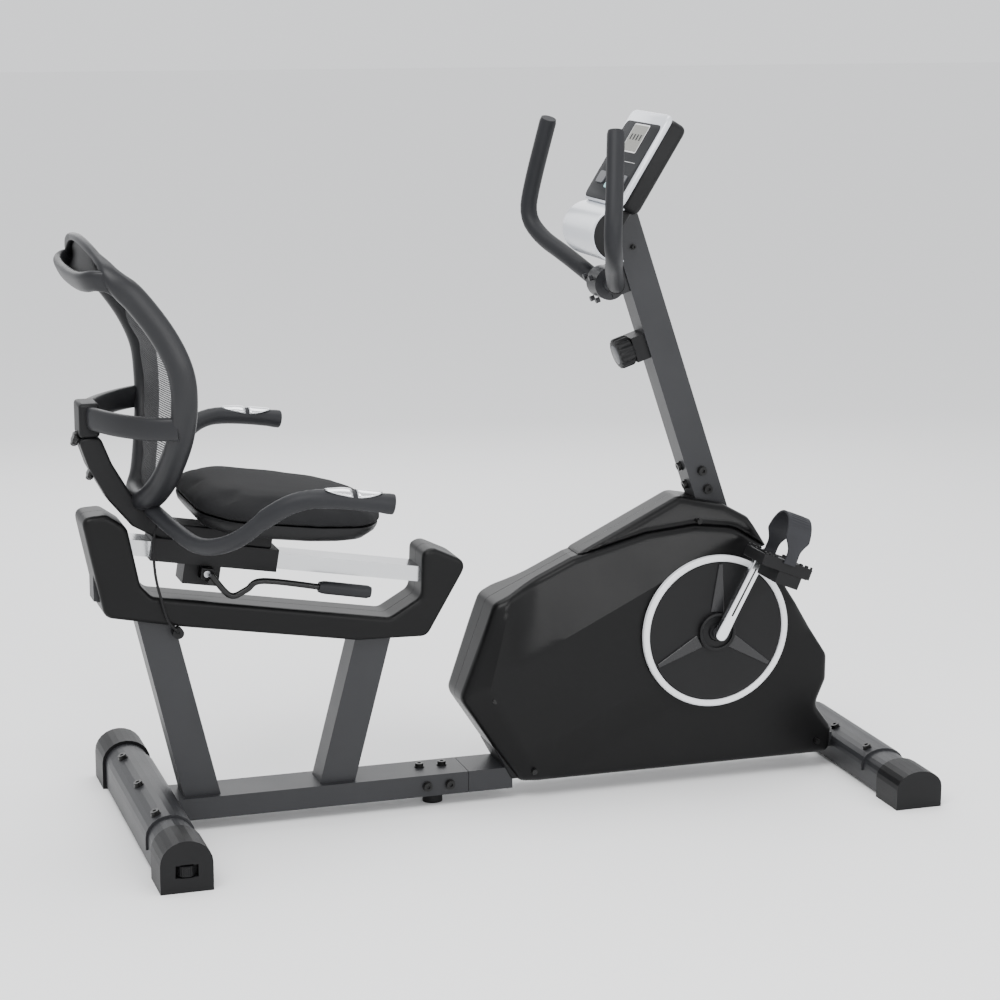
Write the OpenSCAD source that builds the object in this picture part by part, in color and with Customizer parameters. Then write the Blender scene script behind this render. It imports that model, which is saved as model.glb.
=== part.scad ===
// Recumbent magnetic exercise bike: sliding mesh-back seat, belt-driven flywheel, console mast.
// Millimetres, +X towards the pedals (the way the rider faces), +Y to the rider's left, +Z up.

/* [Base frame] */
// Length of the rear stabiliser over its end caps
rear_stab_l = 670; // [560:10:720]
// Length of the front stabiliser over its end caps
front_stab_l = 640; // [540:10:700]
// Width of the main rail
rail_w = 90; // [70:2:100]
// Height of the main rail
rail_h = 41; // [36:1:44]
// Wall of the steel tubes
tube_wall = 3; // [2:0.5:4]

/* [Seat] */
// Slope of the seat rail, down towards the pedals, in degrees
rail_slope = 9.3; // [7:0.1:11]
// Half width of the seat pad at its widest
pad_half_w = 190; // [170:5:200]
// Thickness of the seat cushion
pad_t = 36; // [28:2:40]

/* [Drive] */
// Crank length from axle to pedal spindle
crank_l = 170; // [150:5:175]
// Angle of the right crank above the forward direction, in degrees
crank_angle = 62; // [0:1:90]
// Outer radius of the round crank cover's trim ring
ring_r = 147; // [130:1:150]
// Outer radius of the flywheel
flywheel_r = 122; // [100:2:126]
// Radius of the large drive pulley
pulley_r = 98; // [90:2:104]

/* [Mast] */
// Lean of the console mast towards the rider, in degrees
mast_lean = 18.9; // [15:0.1:22]
// Depth of the mast tube
mast_d = 56; // [50:1:60]
// Width of the mast tube
mast_w = 54; // [48:1:58]
// Radius of the handlebar with its foam sleeve
bar_r = 16; // [14:0.5:17]

/* [Hidden] */
$fn = 48;

origin_shift = -18;             // puts the origin under the middle of the overall box
rear_x = -640;                  // centre lines of the two stabilisers
front_x = 748;
rail_z = 24;                    // underside of the main rail
rail_top = rail_z + rail_h;
seam_x = -48;                   // bolted joint between the rear and the front frame
cap_l = 86;
rear_tube = [80, 80];           // width and height of the stabiliser tubes
front_tube = [80, 60];
tube_z = 6;                     // the tubes ride this high inside their end caps
gap = 0.3;                      // clearance between pieces that move past each other

slide_base = [-400, 0, 491];    // a point on the seat rail's centre line
seat_rail_w = 60;
seat_rail_h = 28;
cover_half_w = 50;
sleeve_from = -236;             // the carriage's ends, measured along the seat rail
sleeve_to = -6;

axle = [430, 308];              // crank axle, X and Z
fly = [150, 250];               // flywheel axle, X and Z
fly_pulley_r = 22;
shroud_half = 75;
shroud_wall = 3;
disc_y = 77;                    // inner face of the round crank covers
arm_y = 100;                    // inner face of the crank arms
pedal_y = 180;                  // middle of each pedal
pedal_tilt = 22;

mast_foot = [432, 0, 566];      // a point on the mast's centre line
mast_down = -190;
mast_up = 560;
mast_dir = [-sin(mast_lean), 0, cos(mast_lean)];
knob_up = 310;                  // the knob's height along the mast
bar_axis = [230, 968];          // the handlebar's turning axis in its clamp, X and Z
face_lean = 31.5;               // the console face leans away from the rider by this much
face_mid = [268, 0, 1196];
face_len = 190;
face_half_w = 95;
button_t = 5;

// ---------- geometry helpers ----------
function unit(v) = v / norm(v);
function mirror_y(p) = [for (q = p) [q.x, -q.y, q.z]];
function reversed(p) = [for (i = [len(p) - 1:-1:0]) p[i]];

// one pass of corner cutting: every inner corner becomes two softer ones
function soften(p) = concat([p[0]],
    [for (i = [0:len(p) - 2]) each [p[i] * 0.75 + p[i + 1] * 0.25, p[i] * 0.25 + p[i + 1] * 0.75]],
    [p[len(p) - 1]]);
function soften_loop(p) =
    [for (i = [0:len(p) - 1]) let (q = p[(i + 1) % len(p)]) each [p[i] * 0.75 + q * 0.25,
        p[i] * 0.25 + q * 0.75]];

function tangent(p, i, loop) = let (n = len(p))
    loop ? unit(p[(i + 1) % n] - p[(i + n - 1) % n]) : unit(p[min(i + 1, n - 1)] - p[max(i - 1, 0)]);
function section(c, t, ref, ra, rb, n) = let (u = unit(cross(t, ref)), v = cross(t, u))
    [for (k = [0:n - 1]) c + u * ra * cos(360 * (k + 0.5) / n) + v * rb * sin(360 * (k + 0.5) / n)];

// a round or oval tube along a path; ref is a direction that the path never runs along
module sweep(path, ra, rb, sides, ref = [0, 0, 1], loop = false) {
    n = len(path);
    points = [for (i = [0:n - 1]) each section(path[i], tangent(path, i, loop), ref, ra, rb, sides)];
    walls = [for (i = [0:(loop ? n - 1 : n - 2)], k = [0:sides - 1])
        let (a = i * sides, b = ((i + 1) % n) * sides, q = (k + 1) % sides) [a + k, b + k, b + q, a + q]];
    caps = loop ? [] : [[for (k = [0:sides - 1]) k], [for (k = [sides - 1:-1:0]) (n - 1) * sides + k]];
    polyhedron(points, concat(walls, caps), convexity = 8);
}

// arcs in place of an outline's corners
function corner(a, b, c, r, n) = let (u = unit(a - b), v = unit(c - b),
    half = acos(max(-1, min(1, u * v))) / 2, cut = min(r / tan(half), norm(a - b) * 0.45,
        norm(c - b) * 0.45),
    p = b + u * cut, q = b + v * cut)
    [for (k = [0:n]) let (s = k / n) p * pow(1 - s, 2) + b * 2 * s * (1 - s) + q * s * s];
function rounded(p, r, n = 4) = let (m = len(p))
    [for (i = [0:m - 1]) each corner(p[(i + m - 1) % m], p[i], p[(i + 1) % m], r, n)];

// an X-Z outline as a plate between two Y values
module side_plate(outline, y0, y1) {
    translate([0, y1, 0]) rotate([90, 0, 0]) linear_extrude(y1 - y0) polygon(outline);
}
module y_cyl(x, z, r, y0, y1) {
    translate([x, y1, z]) rotate([90, 0, 0]) cylinder(r = r, h = y1 - y0);
}
module block(lo, hi) { translate(lo) cube(hi - lo); }
module both_sides() {
    children();
    mirror([0, 1, 0]) children();
}
// a frame along the seat rail: x runs down the rail, z stands off it
module on_slide() { translate(slide_base) rotate([0, rail_slope, 0]) children(); }
// a frame along the mast: z runs up the mast, -x faces the rider
module on_mast() { translate(mast_foot) rotate([0, -mast_lean, 0]) children(); }
// a frame on the console: z runs up the face, -x faces the rider
module on_face() { translate(face_mid) rotate([0, face_lean, 0]) children(); }

// ---------- stabilisers ----------
// arched stabiliser profile: flat underside, straight sides, round top
function arch(w, h, n = 12) = concat([[-w / 2, 0], [w / 2, 0]],
    [for (k = [0:n]) let (a = 180 * k / n) [w / 2 * cos(a), h * 0.55 + h * 0.45 * sin(a)]]);

module stab_tube(x, size, length) {
    difference() {
        translate([x, 0, tube_z]) side_plate(arch(size.x, size.y), -length / 2, length / 2);
        translate([x, 0, tube_z + tube_wall])
            side_plate(arch(size.x - 2 * tube_wall, size.y - 2 * tube_wall), -length / 2 - 1,
                length / 2 + 1);
    }
}
// the rear tube is cut for the levelling wheels, the front one for the transport wheels
module rear_stabiliser() {
    color("#3c3d41") difference() {
        stab_tube(rear_x, rear_tube, rear_stab_l - 30);
        both_sides() translate([rear_x, -level_y, -1]) cylinder(r = level_r + 1, h = 51);
    }
}
module front_stabiliser() {
    color("#3c3d41") difference() {
        stab_tube(front_x, front_tube, front_stab_l - 30);
        both_sides() {
            y_cyl(wheel_x, wheel_z, wheel_r + 2, -wheel_y - 10, -wheel_y + 10);
            y_cyl(wheel_x, wheel_z, 4.6, -wheel_y - 24, -wheel_y + 24);
        }
    }
}

// an end cap: a boot over the tube's end, with the tube's own end let into it
module end_cap(x, size, half_l) {
    grow = 12;
    difference() {
        translate([x, 0, 0]) side_plate(arch(size.x + grow, size.y + grow), -half_l, -half_l + cap_l);
        translate([x, 0, tube_z])
            side_plate(arch(size.x, size.y), -half_l + 15, -half_l + cap_l + 1);
    }
}
// the rear caps have a window with a knurled levelling wheel behind it
level_r = 15;
level_y = rear_stab_l / 2 - 11;
module rear_cap_right() {
    color("#1c1c1e") difference() {
        end_cap(rear_x, rear_tube, rear_stab_l / 2);
        block([rear_x - 20, -rear_stab_l / 2 - 1, 27], [rear_x + 20, -rear_stab_l / 2 + 14, 49]);
        translate([rear_x, -level_y, 26]) cylinder(r = level_r + 1, h = 24);
        translate([rear_x, -level_y, -1]) cylinder(r = 5.05, h = 30);
    }
}
module rear_cap_left() { mirror([0, 1, 0]) rear_cap_right(); }
module level_wheel_right() {
    ribs = 24;
    color("#2a2a2c") union() {
        translate([rear_x, -level_y, 29]) cylinder(r = level_r - 1, h = 18);
        for (k = [0:ribs - 1]) translate([rear_x, -level_y, 29]) rotate([0, 0, 360 * k / ribs])
            translate([level_r - 1.6, -0.9, 0]) cube([1.4, 1.8, 18]);
        translate([rear_x, -level_y, 0]) cylinder(r = 5, h = 30);
    }
}
module level_wheel_left() { mirror([0, 1, 0]) level_wheel_right(); }

// the front caps carry the transport wheels in a slot in their front
wheel_r = 22;
wheel_x = front_x + 22;
wheel_z = 23;
wheel_y = front_stab_l / 2 - 34;
module front_cap_right() {
    color("#1c1c1e") difference() {
        end_cap(front_x, front_tube, front_stab_l / 2);
        y_cyl(wheel_x, wheel_z, wheel_r + 2, -wheel_y - 10, -wheel_y + 10);
        block([wheel_x, -wheel_y - 10, -1], [wheel_x + 40, -wheel_y + 10, wheel_z + wheel_r + 2]);
        block([wheel_x - wheel_r - 2, -wheel_y - 10, -1], [wheel_x + 20, -wheel_y + 10, wheel_z]);
        y_cyl(wheel_x, wheel_z, 4.05, -wheel_y - 23, -wheel_y + 21);
    }
}
module front_cap_left() { mirror([0, 1, 0]) front_cap_right(); }
module transport_wheel_right() {
    color("#151515") union() {
        y_cyl(wheel_x, wheel_z, wheel_r, -wheel_y - 8, -wheel_y + 8);
        y_cyl(wheel_x, wheel_z, 4, -wheel_y - 20, -wheel_y + 20);
    }
}
module transport_wheel_left() { mirror([0, 1, 0]) transport_wheel_right(); }

// ---------- welded frames ----------
rear_post = [[-583, rail_top - 2], [-516, rail_top - 2], [-596, 400], [-663, 412]];
front_post = [[-331, rail_top - 2], [-264, rail_top - 2], [-193, 338], [-258, 348]];
saddle_wall = 4;
module saddle(x, size, half_l) {
    difference() {
        translate([x, 0, tube_z]) side_plate(arch(size.x + 2 * saddle_wall, size.y + saddle_wall),
            -half_l, half_l);
        translate([x, 0, tube_z]) side_plate(arch(size.x, size.y), -half_l - 1, half_l + 1);
        block([x - size.x, -half_l - 1, -1], [x + size.x, half_l + 1, 30]);
    }
}
// the beam inside the rail covers, and the two uprights that hold the seat rail's ends
beam = [[-700, 432], [-640, 421], [-200, 349], [-140, 340], [-140, 366], [-200, 372], [-640, 446],
    [-700, 456]];
rear_horn = [[-735, 440], [-690, 430], [-690, 566], [-735, 572]];
front_horn = [[-170, 345], [-125, 340], [-78, 455], [-112, 478]];
module rear_frame() {
    post_half = 30;
    color("#3f4045") difference() {
        union() {
            difference() {
                block([rear_x + 41, -rail_w / 2, rail_z], [seam_x - 1, rail_w / 2, rail_top]);
                block([rear_x + 40, -rail_w / 2 + tube_wall, rail_z + tube_wall],
                    [seam_x, rail_w / 2 - tube_wall, rail_top - tube_wall]);
            }
            saddle(rear_x, rear_tube, 190);
            side_plate(rear_post, -post_half, post_half);
            side_plate(front_post, -post_half, post_half);
            side_plate(beam, -22, 22);
            side_plate(rear_horn, -22, 22);
            side_plate(front_horn, -22, 22);
        }
        on_slide() translate([-320, -seat_rail_w / 2 - 1, -seat_rail_h / 2])
            cube([620, seat_rail_w + 2, seat_rail_h]);
    }
}

stub = [[330, rail_top - 2], [420, rail_top - 2], [462, 240], [470, 400], [490, 460], [440, 458], [400,
    400], [395, 250]];
module front_frame() {
    inner_w = 50;
    color("#3f4045") difference() {
        union() {
            difference() {
                block([seam_x, -rail_w / 2, rail_z], [38, rail_w / 2, rail_top]);
                block([seam_x - 1, -rail_w / 2 + tube_wall, rail_z + tube_wall],
                    [39, rail_w / 2 - tube_wall, rail_top - tube_wall]);
            }
            block([seam_x - 100, -rail_w / 2 + 4, rail_z + 4], [seam_x + 30, rail_w / 2 - 4, rail_top - 4]);
            block([20, -inner_w / 2, 36], [front_x - 40.5, inner_w / 2, rail_top]);
            saddle(front_x, front_tube, 165);
            side_plate(stub, -20, 20);
            y_cyl(axle.x, axle.y, 28, -34, 34);
            for (y = [-26, 20]) side_plate([[fly.x - 30, 62], [fly.x + 30, 62], [fly.x + 18, fly.y],
                [fly.x - 18, fly.y]], y, y + 6);
            for (y = [-26, 20]) y_cyl(fly.x, fly.y, 18, y, y + 6);
            on_mast() translate([-mast_d / 2 + 4, -mast_w / 2 + 4, mast_down]) cube([mast_d - 8,
                mast_w - 8, 230]);
        }
        y_cyl(axle.x, axle.y, 20, -35, 35);
        y_cyl(fly.x, fly.y, 8, -27, 27);
    }
}
module centre_foot() {
    color("#1a1a1a") union() {
        translate([-106, 0, 0]) cylinder(r = 19, h = 14);
        translate([-106, 0, 14]) cylinder(r = 8, h = rail_z - 14);
    }
}

// round-headed hex bolts with their washers, on the frame's joints
module bolt(at, tilt, r = 8) {
    translate(at) rotate(tilt) union() {
        cylinder(r = r + 1.5, h = 2);
        difference() {
            cylinder(r = r, h = 8);
            translate([0, 0, 4.5]) cylinder(r = r / 2, h = 5, $fn = 6);
        }
    }
}
module frame_bolts() {
    color("#111111") union() {
        for (x = [-129, -85]) {
            bolt([x, 9, rail_top], [0, 0, 0]);
            bolt([x, -rail_w / 2, 44], [90, 0, 0]);
            bolt([x, rail_w / 2, 44], [-90, 0, 0]);
        }
        for (y = [-165, 0, 165]) {
            translate([0, y, 0]) bolt([rear_x - 20, 0, tube_z + rear_tube.y - 1], [0, -20, 0]);
        }
        for (y = [-140, 0, 140]) {
            translate([0, y, 0]) bolt([front_x - 20, 0, tube_z + front_tube.y - 1], [0, -20, 0]);
        }
        on_mast() for (z = [44, 6]) {
            bolt([-mast_d / 2, 0, z + 16], [0, -90, 0]);
            bolt([0, -mast_w / 2, z], [90, 0, 0]);
            bolt([0, mast_w / 2, z], [-90, 0, 0]);
        }
        on_mast() bolt([0, -mast_w / 2, 496], [90, 0, 0], 4);
    }
}

// ---------- seat rail and its covers ----------
module seat_rail() {
    color("#d9dadc") on_slide() difference() {
        translate([-318, -seat_rail_w / 2, -seat_rail_h / 2]) cube([616, seat_rail_w, seat_rail_h]);
        translate([-319, -seat_rail_w / 2 + tube_wall, -seat_rail_h / 2 + tube_wall])
            cube([618, seat_rail_w - 2 * tube_wall, seat_rail_h - 2 * tube_wall]);
    }
}
cover_outline = rounded([[-757, 597], [-712, 599], [-676, 574], [-655, 468], [-635, 446], [-199, 374],
    [-140, 408], [-137, 492],
    [-118, 500], [-50, 468], [-129, 333], [-262, 336], [-577, 386], [-720, 414]], 22);
// a U-shaped moulded half shell, open at the top between its two horns
module rail_cover(side) {
    wall = 3;
    y0 = side < 0 ? -cover_half_w : 0.1;
    y1 = side < 0 ? -0.1 : cover_half_w;
    color("#1d1d1f") difference() {
        side_plate(cover_outline, y0, y1);
        translate([-404, 0, 433]) scale(0.968) translate([404, 0, -433])
            side_plate(cover_outline, side < 0 ? y0 + wall : y0 - 1, side < 0 ? y1 + 1 : y1 - wall);
        on_slide() translate([-330, -seat_rail_w / 2 - 1, -seat_rail_h / 2 - 1])
            cube([680, seat_rail_w + 2, seat_rail_h + 2]);
        block([-668, -31, 360], [-512, 31, 440]);
        block([-290, -31, 310], [-180, 31, 362]);
        block([-628, -44, 380], [-200, 44, 480]);
        for (p = cover_screw_points) y_cyl(p.x, p.y, 4.2, -60, 60);
    }
}
cover_screw_points = [[-685, 440], [-414, 391], [-162, 352], [-78, 452]];
module rail_cover_left() { rail_cover(1); }
module rail_cover_right() { rail_cover(-1); }

shroud_screw_points = [[-5, 205], [397, 520], [73, 60], [655, 64]];
module panel_screws() {
    color("#0c0c0c") both_sides() {
        for (p = cover_screw_points) y_cyl(p.x, p.y, 4, -cover_half_w + 1, -cover_half_w + 10);
        for (p = shroud_screw_points) y_cyl(p.x, p.y, 5, -shroud_half + 1, -shroud_half + 12);
    }
}

// ---------- shroud ----------
shroud_outline = rounded([[-65, 205], [-1, 385], [162, 460], [369, 563], [455, 545], [500, 520], [530,
    471], [583, 375],
    [676, 235], [676, 185], [655, 135], [690, 88], [688, 36], [52, 36], [2, 105]], 26);
shroud_mid = [310, 270];
top_split = [[150, 460], [300, 500], [395, 512], [470, 505], [540, 462], [600, 640], [100, 640]];
module shroud_half_shell() {
    inner = 0.965;
    color("#161618") difference() {
        side_plate(shroud_outline, -shroud_half, -0.1);
        translate([shroud_mid.x, 0, shroud_mid.y]) scale(inner) translate([-shroud_mid.x, 0, -shroud_mid.y])
            side_plate(shroud_outline, -(shroud_half - shroud_wall) / inner, 1);
        side_plate(top_split, -90, 10);
        y_cyl(axle.x, axle.y, 30, -90, 1);
        block([-100, -46, 0], [60, 1, rail_top + 1]);
        block([0, -28, 20], [760, 1, rail_top + 1]);
        for (p = shroud_screw_points) y_cyl(p.x, p.y, 5.2, -90, 1);
    }
}
module shroud_right() { shroud_half_shell(); }
module shroud_left() { mirror([0, 1, 0]) shroud_half_shell(); }
module shroud_top_cover() {
    top = 0.95;
    color("#161618") difference() {
        intersection() {
            side_plate(shroud_outline, -shroud_half + 4, shroud_half - 4);
            translate([0, 0, 0.4]) side_plate(top_split, -90, 90);
        }
        translate([360, 0, 400]) scale([top, top, top]) translate([-360, 0, -400])
            side_plate(shroud_outline, -shroud_half + 6, shroud_half - 6);
        on_mast() translate([-mast_d / 2 - 1, -mast_w / 2 - 1, -200]) cube([mast_d + 2, mast_w + 2, 300]);
        for (p = shroud_screw_points) y_cyl(p.x, p.y, 5.2, -90, 90);
    }
}

// ---------- drive train ----------
module crank_bearings() {
    color("#8a8c90") both_sides() difference() {
        y_cyl(axle.x, axle.y, 20, -34, -22);
        y_cyl(axle.x, axle.y, 10.05, -35, -21);
    }
}
module crank_axle() {
    color("#77797d") union() {
        y_cyl(axle.x, axle.y, 10, -arm_y - 6, arm_y + 6);
        y_cyl(axle.x, axle.y, 14, -20, 20);
    }
}
module drive_pulley() {
    color("#2b2b2e") difference() {
        union() {
            y_cyl(axle.x, axle.y, pulley_r, 46, 58);
            y_cyl(axle.x, axle.y, 24, 38, 62);
        }
        y_cyl(axle.x, axle.y, 10, 30, 70);
        for (a = [0:60:300])
            y_cyl(axle.x + 62 * cos(a), axle.y + 62 * sin(a), 20, 40, 60);
    }
}
// a flat belt's outline round two pulleys: an arc on each, joined by their outer tangents
function belt_loop(a, ra, b, rb, n = 20) = let (d = b - a, turn = atan2(d.y, d.x),
    lap = acos((ra - rb) / norm(d)))
    concat([for (k = [0:n]) let (w = turn + lap + k * (360 - 2 * lap) / n) a + ra * [cos(w), sin(w)]],
        [for (k = [0:n]) let (w = turn - lap + k * 2 * lap / n) b + rb * [cos(w), sin(w)]]);
belt_t = 2;
belt_gap = 0.6;                 // the belt's straight facets stay clear of the round pulleys
module drive_belt() {
    color("#101010") difference() {
        side_plate(belt_loop(axle, pulley_r + belt_gap + belt_t, fly,
            fly_pulley_r + belt_gap + belt_t), 47, 57);
        side_plate(belt_loop(axle, pulley_r + belt_gap, fly, fly_pulley_r + belt_gap), 46, 58);
    }
}
module flywheel_axle() { color("#8a8c90") y_cyl(fly.x, fly.y, 8, -32, 62); }
module flywheel() {
    color("#5a5c60") difference() {
        union() {
            y_cyl(fly.x, fly.y, flywheel_r, -12, 12);
            y_cyl(fly.x, fly.y, 19, -18, 18);
        }
        y_cyl(fly.x, fly.y, 8.05, -40, 70);
        for (a = [0:72:288]) y_cyl(fly.x + 70 * cos(a), fly.y + 70 * sin(a), 22, -20, 20);
    }
    color("#5a5c60") difference() {
        union() {
            y_cyl(fly.x, fly.y, fly_pulley_r, 47, 57);
            y_cyl(fly.x, fly.y, 14, 27, 60);
        }
        y_cyl(fly.x, fly.y, 8.05, 20, 70);
    }
}
// a curved yoke with magnets that swings towards the flywheel's rim
brake_pivot = fly + 150 * [cos(95), sin(95)];
module magnet_bracket() {
    reach = flywheel_r + 4;
    arc = concat([for (a = [100:5:160]) fly + (reach + 10) * [cos(a), sin(a)]],
        [for (a = [160:-5:100]) fly + reach * [cos(a), sin(a)]]);
    color("#6b6d72") union() {
        side_plate(arc, -16, 16);
        side_plate([fly + (reach + 8) * [cos(101), sin(101)], brake_pivot + [8, 0], brake_pivot + [-8, 4],
            fly + (reach + 8) * [cos(115), sin(115)]], -5, 5);
        y_cyl(brake_pivot.x, brake_pivot.y, 9, -16, 16);
    }
}

module crank_disc() {
    color("#141416") difference() {
        union() {
            y_cyl(axle.x, axle.y, ring_r - 12, -disc_y - 8, -disc_y);
            y_cyl(axle.x, axle.y, 36, -disc_y - 18, -disc_y);
        }
        y_cyl(axle.x, axle.y, 10, -200, 0);
    }
}
module crank_disc_right() { crank_disc(); }
module crank_disc_left() { mirror([0, 1, 0]) crank_disc(); }
module crank_rings() {
    color("#e8e9eb") both_sides() difference() {
        y_cyl(axle.x, axle.y, ring_r, -disc_y - 11, -disc_y);
        y_cyl(axle.x, axle.y, ring_r - 12, -disc_y - 12, -disc_y + 1);
    }
}
// the crank's end point for the right side; the left one is opposite
crank_end = axle + crank_l * [cos(crank_angle), sin(crank_angle)];
module crank_arm() {
    color("#c9cbce") difference() {
        union() {
            translate([axle.x, 0, axle.y]) rotate([0, -crank_angle, 0])
                block([0, -arm_y - 14, -11], [crank_l, -arm_y, 11]);
            y_cyl(axle.x, axle.y, 18, -arm_y - 16, -arm_y);
            y_cyl(crank_end.x, crank_end.y, 13, -arm_y - 16, -arm_y);
            y_cyl(crank_end.x, crank_end.y, 6, -pedal_y - 36, -arm_y);
        }
        y_cyl(axle.x, axle.y, 10, -arm_y - 6, 0);
    }
}
module crank_arm_right() { crank_arm(); }
module crank_arm_left() { translate([2 * axle.x, 0, 2 * axle.y]) rotate([0, 180, 0]) mirror([0, 1,
    0]) crank_arm(); }

// a pedal: a toothed frame on a running tube, with the weight that keeps it level
module pedal_at_right() {
    translate([crank_end.x, -pedal_y, crank_end.y]) rotate([0, pedal_tilt, 0]) children();
}
module pedal_at_left() {
    translate([2 * axle.x - crank_end.x, pedal_y, 2 * axle.y - crank_end.y]) rotate([0, pedal_tilt, 0])
        mirror([0, 1, 0]) children();
}
pedal_half = [52, 42];
module pedal() {
    color("#19191b") difference() {
        union() {
            block([-pedal_half.x, -pedal_half.y, -11], [pedal_half.x, pedal_half.y, 11]);
            block([-12, -pedal_half.y, -34], [38, pedal_half.y, -8]);
            for (x = [-46, -30, 30, 46], y = [-32, 32])
                translate([x, y, 10]) cylinder(r1 = 4, r2 = 2.5, h = 6);
        }
        y_cyl(0, 0, 6.05, -50, 50);
        for (x = [-32, 32]) block([x - 11, -26, -12], [x + 11, 26, 12]);
    }
}
module pedal_right() { pedal_at_right() pedal(); }
module pedal_left() { pedal_at_left() pedal(); }
// a moulded strap that loops over the foot from one side of the pedal to the other
module strap() {
    w = 46;
    t = 3;
    foot = 0.1;
    outer = concat([[-pedal_half.y - t - foot, 7], [-pedal_half.y - t - foot, 20]],
        [for (a = [180:-15:0]) [(pedal_half.y - 2) * cos(a), 42 + 52 * sin(a)]],
        [[pedal_half.y + t + foot, 20], [pedal_half.y + t + foot, 7]]);
    inner = concat([[-pedal_half.y - foot, 6], [-pedal_half.y - foot, 20]],
        [for (a = [180:-15:0]) [(pedal_half.y - 2 - t) * cos(a), 42 + (52 - t) * sin(a)]],
        [[pedal_half.y + foot, 20], [pedal_half.y + foot, 6]]);
    color("#202022") translate([-w / 2, 0, 0]) rotate([90, 0, 90]) linear_extrude(w)
        difference() { polygon(outer); polygon(inner); }
}
module strap_right() { pedal_at_right() strap(); }
module strap_left() { pedal_at_left() strap(); }

// ---------- mast, handlebar, console ----------
module mast() {
    color("#38393d") on_mast() difference() {
        translate([-mast_d / 2, -mast_w / 2, -90]) cube([mast_d, mast_w, mast_up + 90]);
        translate([-mast_d / 2 + tube_wall, -mast_w / 2 + tube_wall, -91])
            cube([mast_d - 2 * tube_wall, mast_w - 2 * tube_wall, mast_up + 92]);
    }
}
clamp_half_w = 24;
module clamp_base() {
    color("#4b4c50") difference() {
        union() {
            y_cyl(bar_axis.x, bar_axis.y, 30, -clamp_half_w, clamp_half_w);
            translate([bar_axis.x, 0, bar_axis.y]) rotate([0, -mast_lean, 0])
                block([2, 1 - clamp_half_w, -27], [38, clamp_half_w - 1, 27]);
        }
        y_cyl(bar_axis.x, bar_axis.y, bar_r - 3 + 0.05, -40, 40);
        translate([bar_axis.x, 0, bar_axis.y]) rotate([0, -mast_lean, 0]) block([-40, -40, -50], [-3,
            40, 50]);
        on_mast() translate([-mast_d / 2, -mast_w / 2, -90]) cube([mast_d, mast_w, mast_up + 90]);
    }
}
module clamp_cap() {
    color("#4b4c50") union() {
        difference() {
            y_cyl(bar_axis.x, bar_axis.y, 30, -clamp_half_w, clamp_half_w);
            y_cyl(bar_axis.x, bar_axis.y, bar_r - 3 + 0.05, -40, 40);
            translate([bar_axis.x, 0, bar_axis.y]) rotate([0, -mast_lean, 0]) block([-4, -40, -50],
                [50, 40, 50]);
        }
        for (y = [-14, 14], z = [-22, 22])
            translate([bar_axis.x, y, bar_axis.y]) rotate([0, -mast_lean, 0])
                translate([-26, 0, z]) rotate([0, -90, 0]) cylinder(r = 5, h = 8);
    }
}
bar_side = [[230, 52, 968], [195, 130, 1008], [172, 196, 1032], [154, 232, 1070], [160, 222, 1130],
    [178, 178, 1258]];
module handlebar() {
    half = soften(soften(bar_side));
    color("#2f3033") union() {
        for (s = [1, -1]) sweep(s > 0 ? half : reversed(mirror_y(half)), bar_r, bar_r, 16, [1, 0, 0]);
        y_cyl(bar_axis.x, bar_axis.y, bar_r - 3, -54, 54);
    }
}
module knob_housing() {
    color("#1b1b1d") on_mast() union() {
        translate([-mast_d / 2 - 26, -22, knob_up - 24]) cube([26, 44, 48]);
        translate([-mast_d / 2 - 32, 0, knob_up]) rotate([0, 90, 0]) cylinder(r = 5, h = 10);
    }
}
module tension_knob() {
    lobes = 16;
    color("#202124") on_mast() translate([-mast_d / 2 - 26.5, 0, knob_up]) rotate([0, -90,
        0]) difference() {
        union() {
            cylinder(r = 27, h = 32);
            for (k = [0:lobes - 1]) rotate([0, 0, 360 * k / lobes]) translate([26, 0,
                0]) cylinder(r = 3.5, h = 26);
        }
        translate([0, 0, -1]) cylinder(r = 5.05, h = 8);
    }
}
module console_housing() {
    roll_z = -140;
    color("#1a1a1c") difference() {
        on_face() union() {
            block([4, -face_half_w + 4, -face_len / 2 + 2], [42, face_half_w - 4, face_len / 2 - 2]);
            translate([8, 0, roll_z + 66]) rotate([0, -face_lean, 0])
                block([-2, -70, -78], [44, 70, 0]);
        }
        on_mast() translate([-mast_d / 2, -mast_w / 2, -90]) cube([mast_d, mast_w, mast_up + 90]);
        on_face() block([1, -60, -face_len / 2 + 30], [10, 60, face_len / 2 - 20]);
    }
}
roll_at = [222, 1063];
module console_panel() {
    color("#c8cbd0") difference() {
        union() {
            on_face() block([-4, -face_half_w, -face_len / 2], [4, face_half_w, face_len / 2]);
            difference() {
                y_cyl(roll_at.x, roll_at.y, 50, -80, 80);
                translate([roll_at.x, 0, roll_at.y]) block([3, -90, -60], [60, 90, 60]);
            }
        }
        y_cyl(roll_at.x, roll_at.y, 46, -76, 76);
        on_face() block([-5, -34, 12], [5, 34, 64]);
        for (p = button_points) on_face() block([-5, p.x - p.z - gap, p.y - 12 - gap], [5,
            p.x + p.z + gap, p.y + 12 + gap]);
        translate([210, -80, 1000]) cube([80, 160, 62]);
    }
}
// across the face, up the face, half width of each button
button_points = [[50, -48, 18], [0, -55, 16], [-50, -48, 18]];
module console_screen() {
    color("#8f8f82") on_face() block([-3.5, -34, 12], [3.8, 34, 64]);
}
module button(i) {
    p = button_points[i];
    color("#d5dade") on_face() block([-7, p.x - p.z, p.y - 12], [-7 + button_t, p.x + p.z, p.y + 12]);
}
module button_left() { button(0); }
module button_centre() { button(1); }
module button_right() { button(2); }

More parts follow.
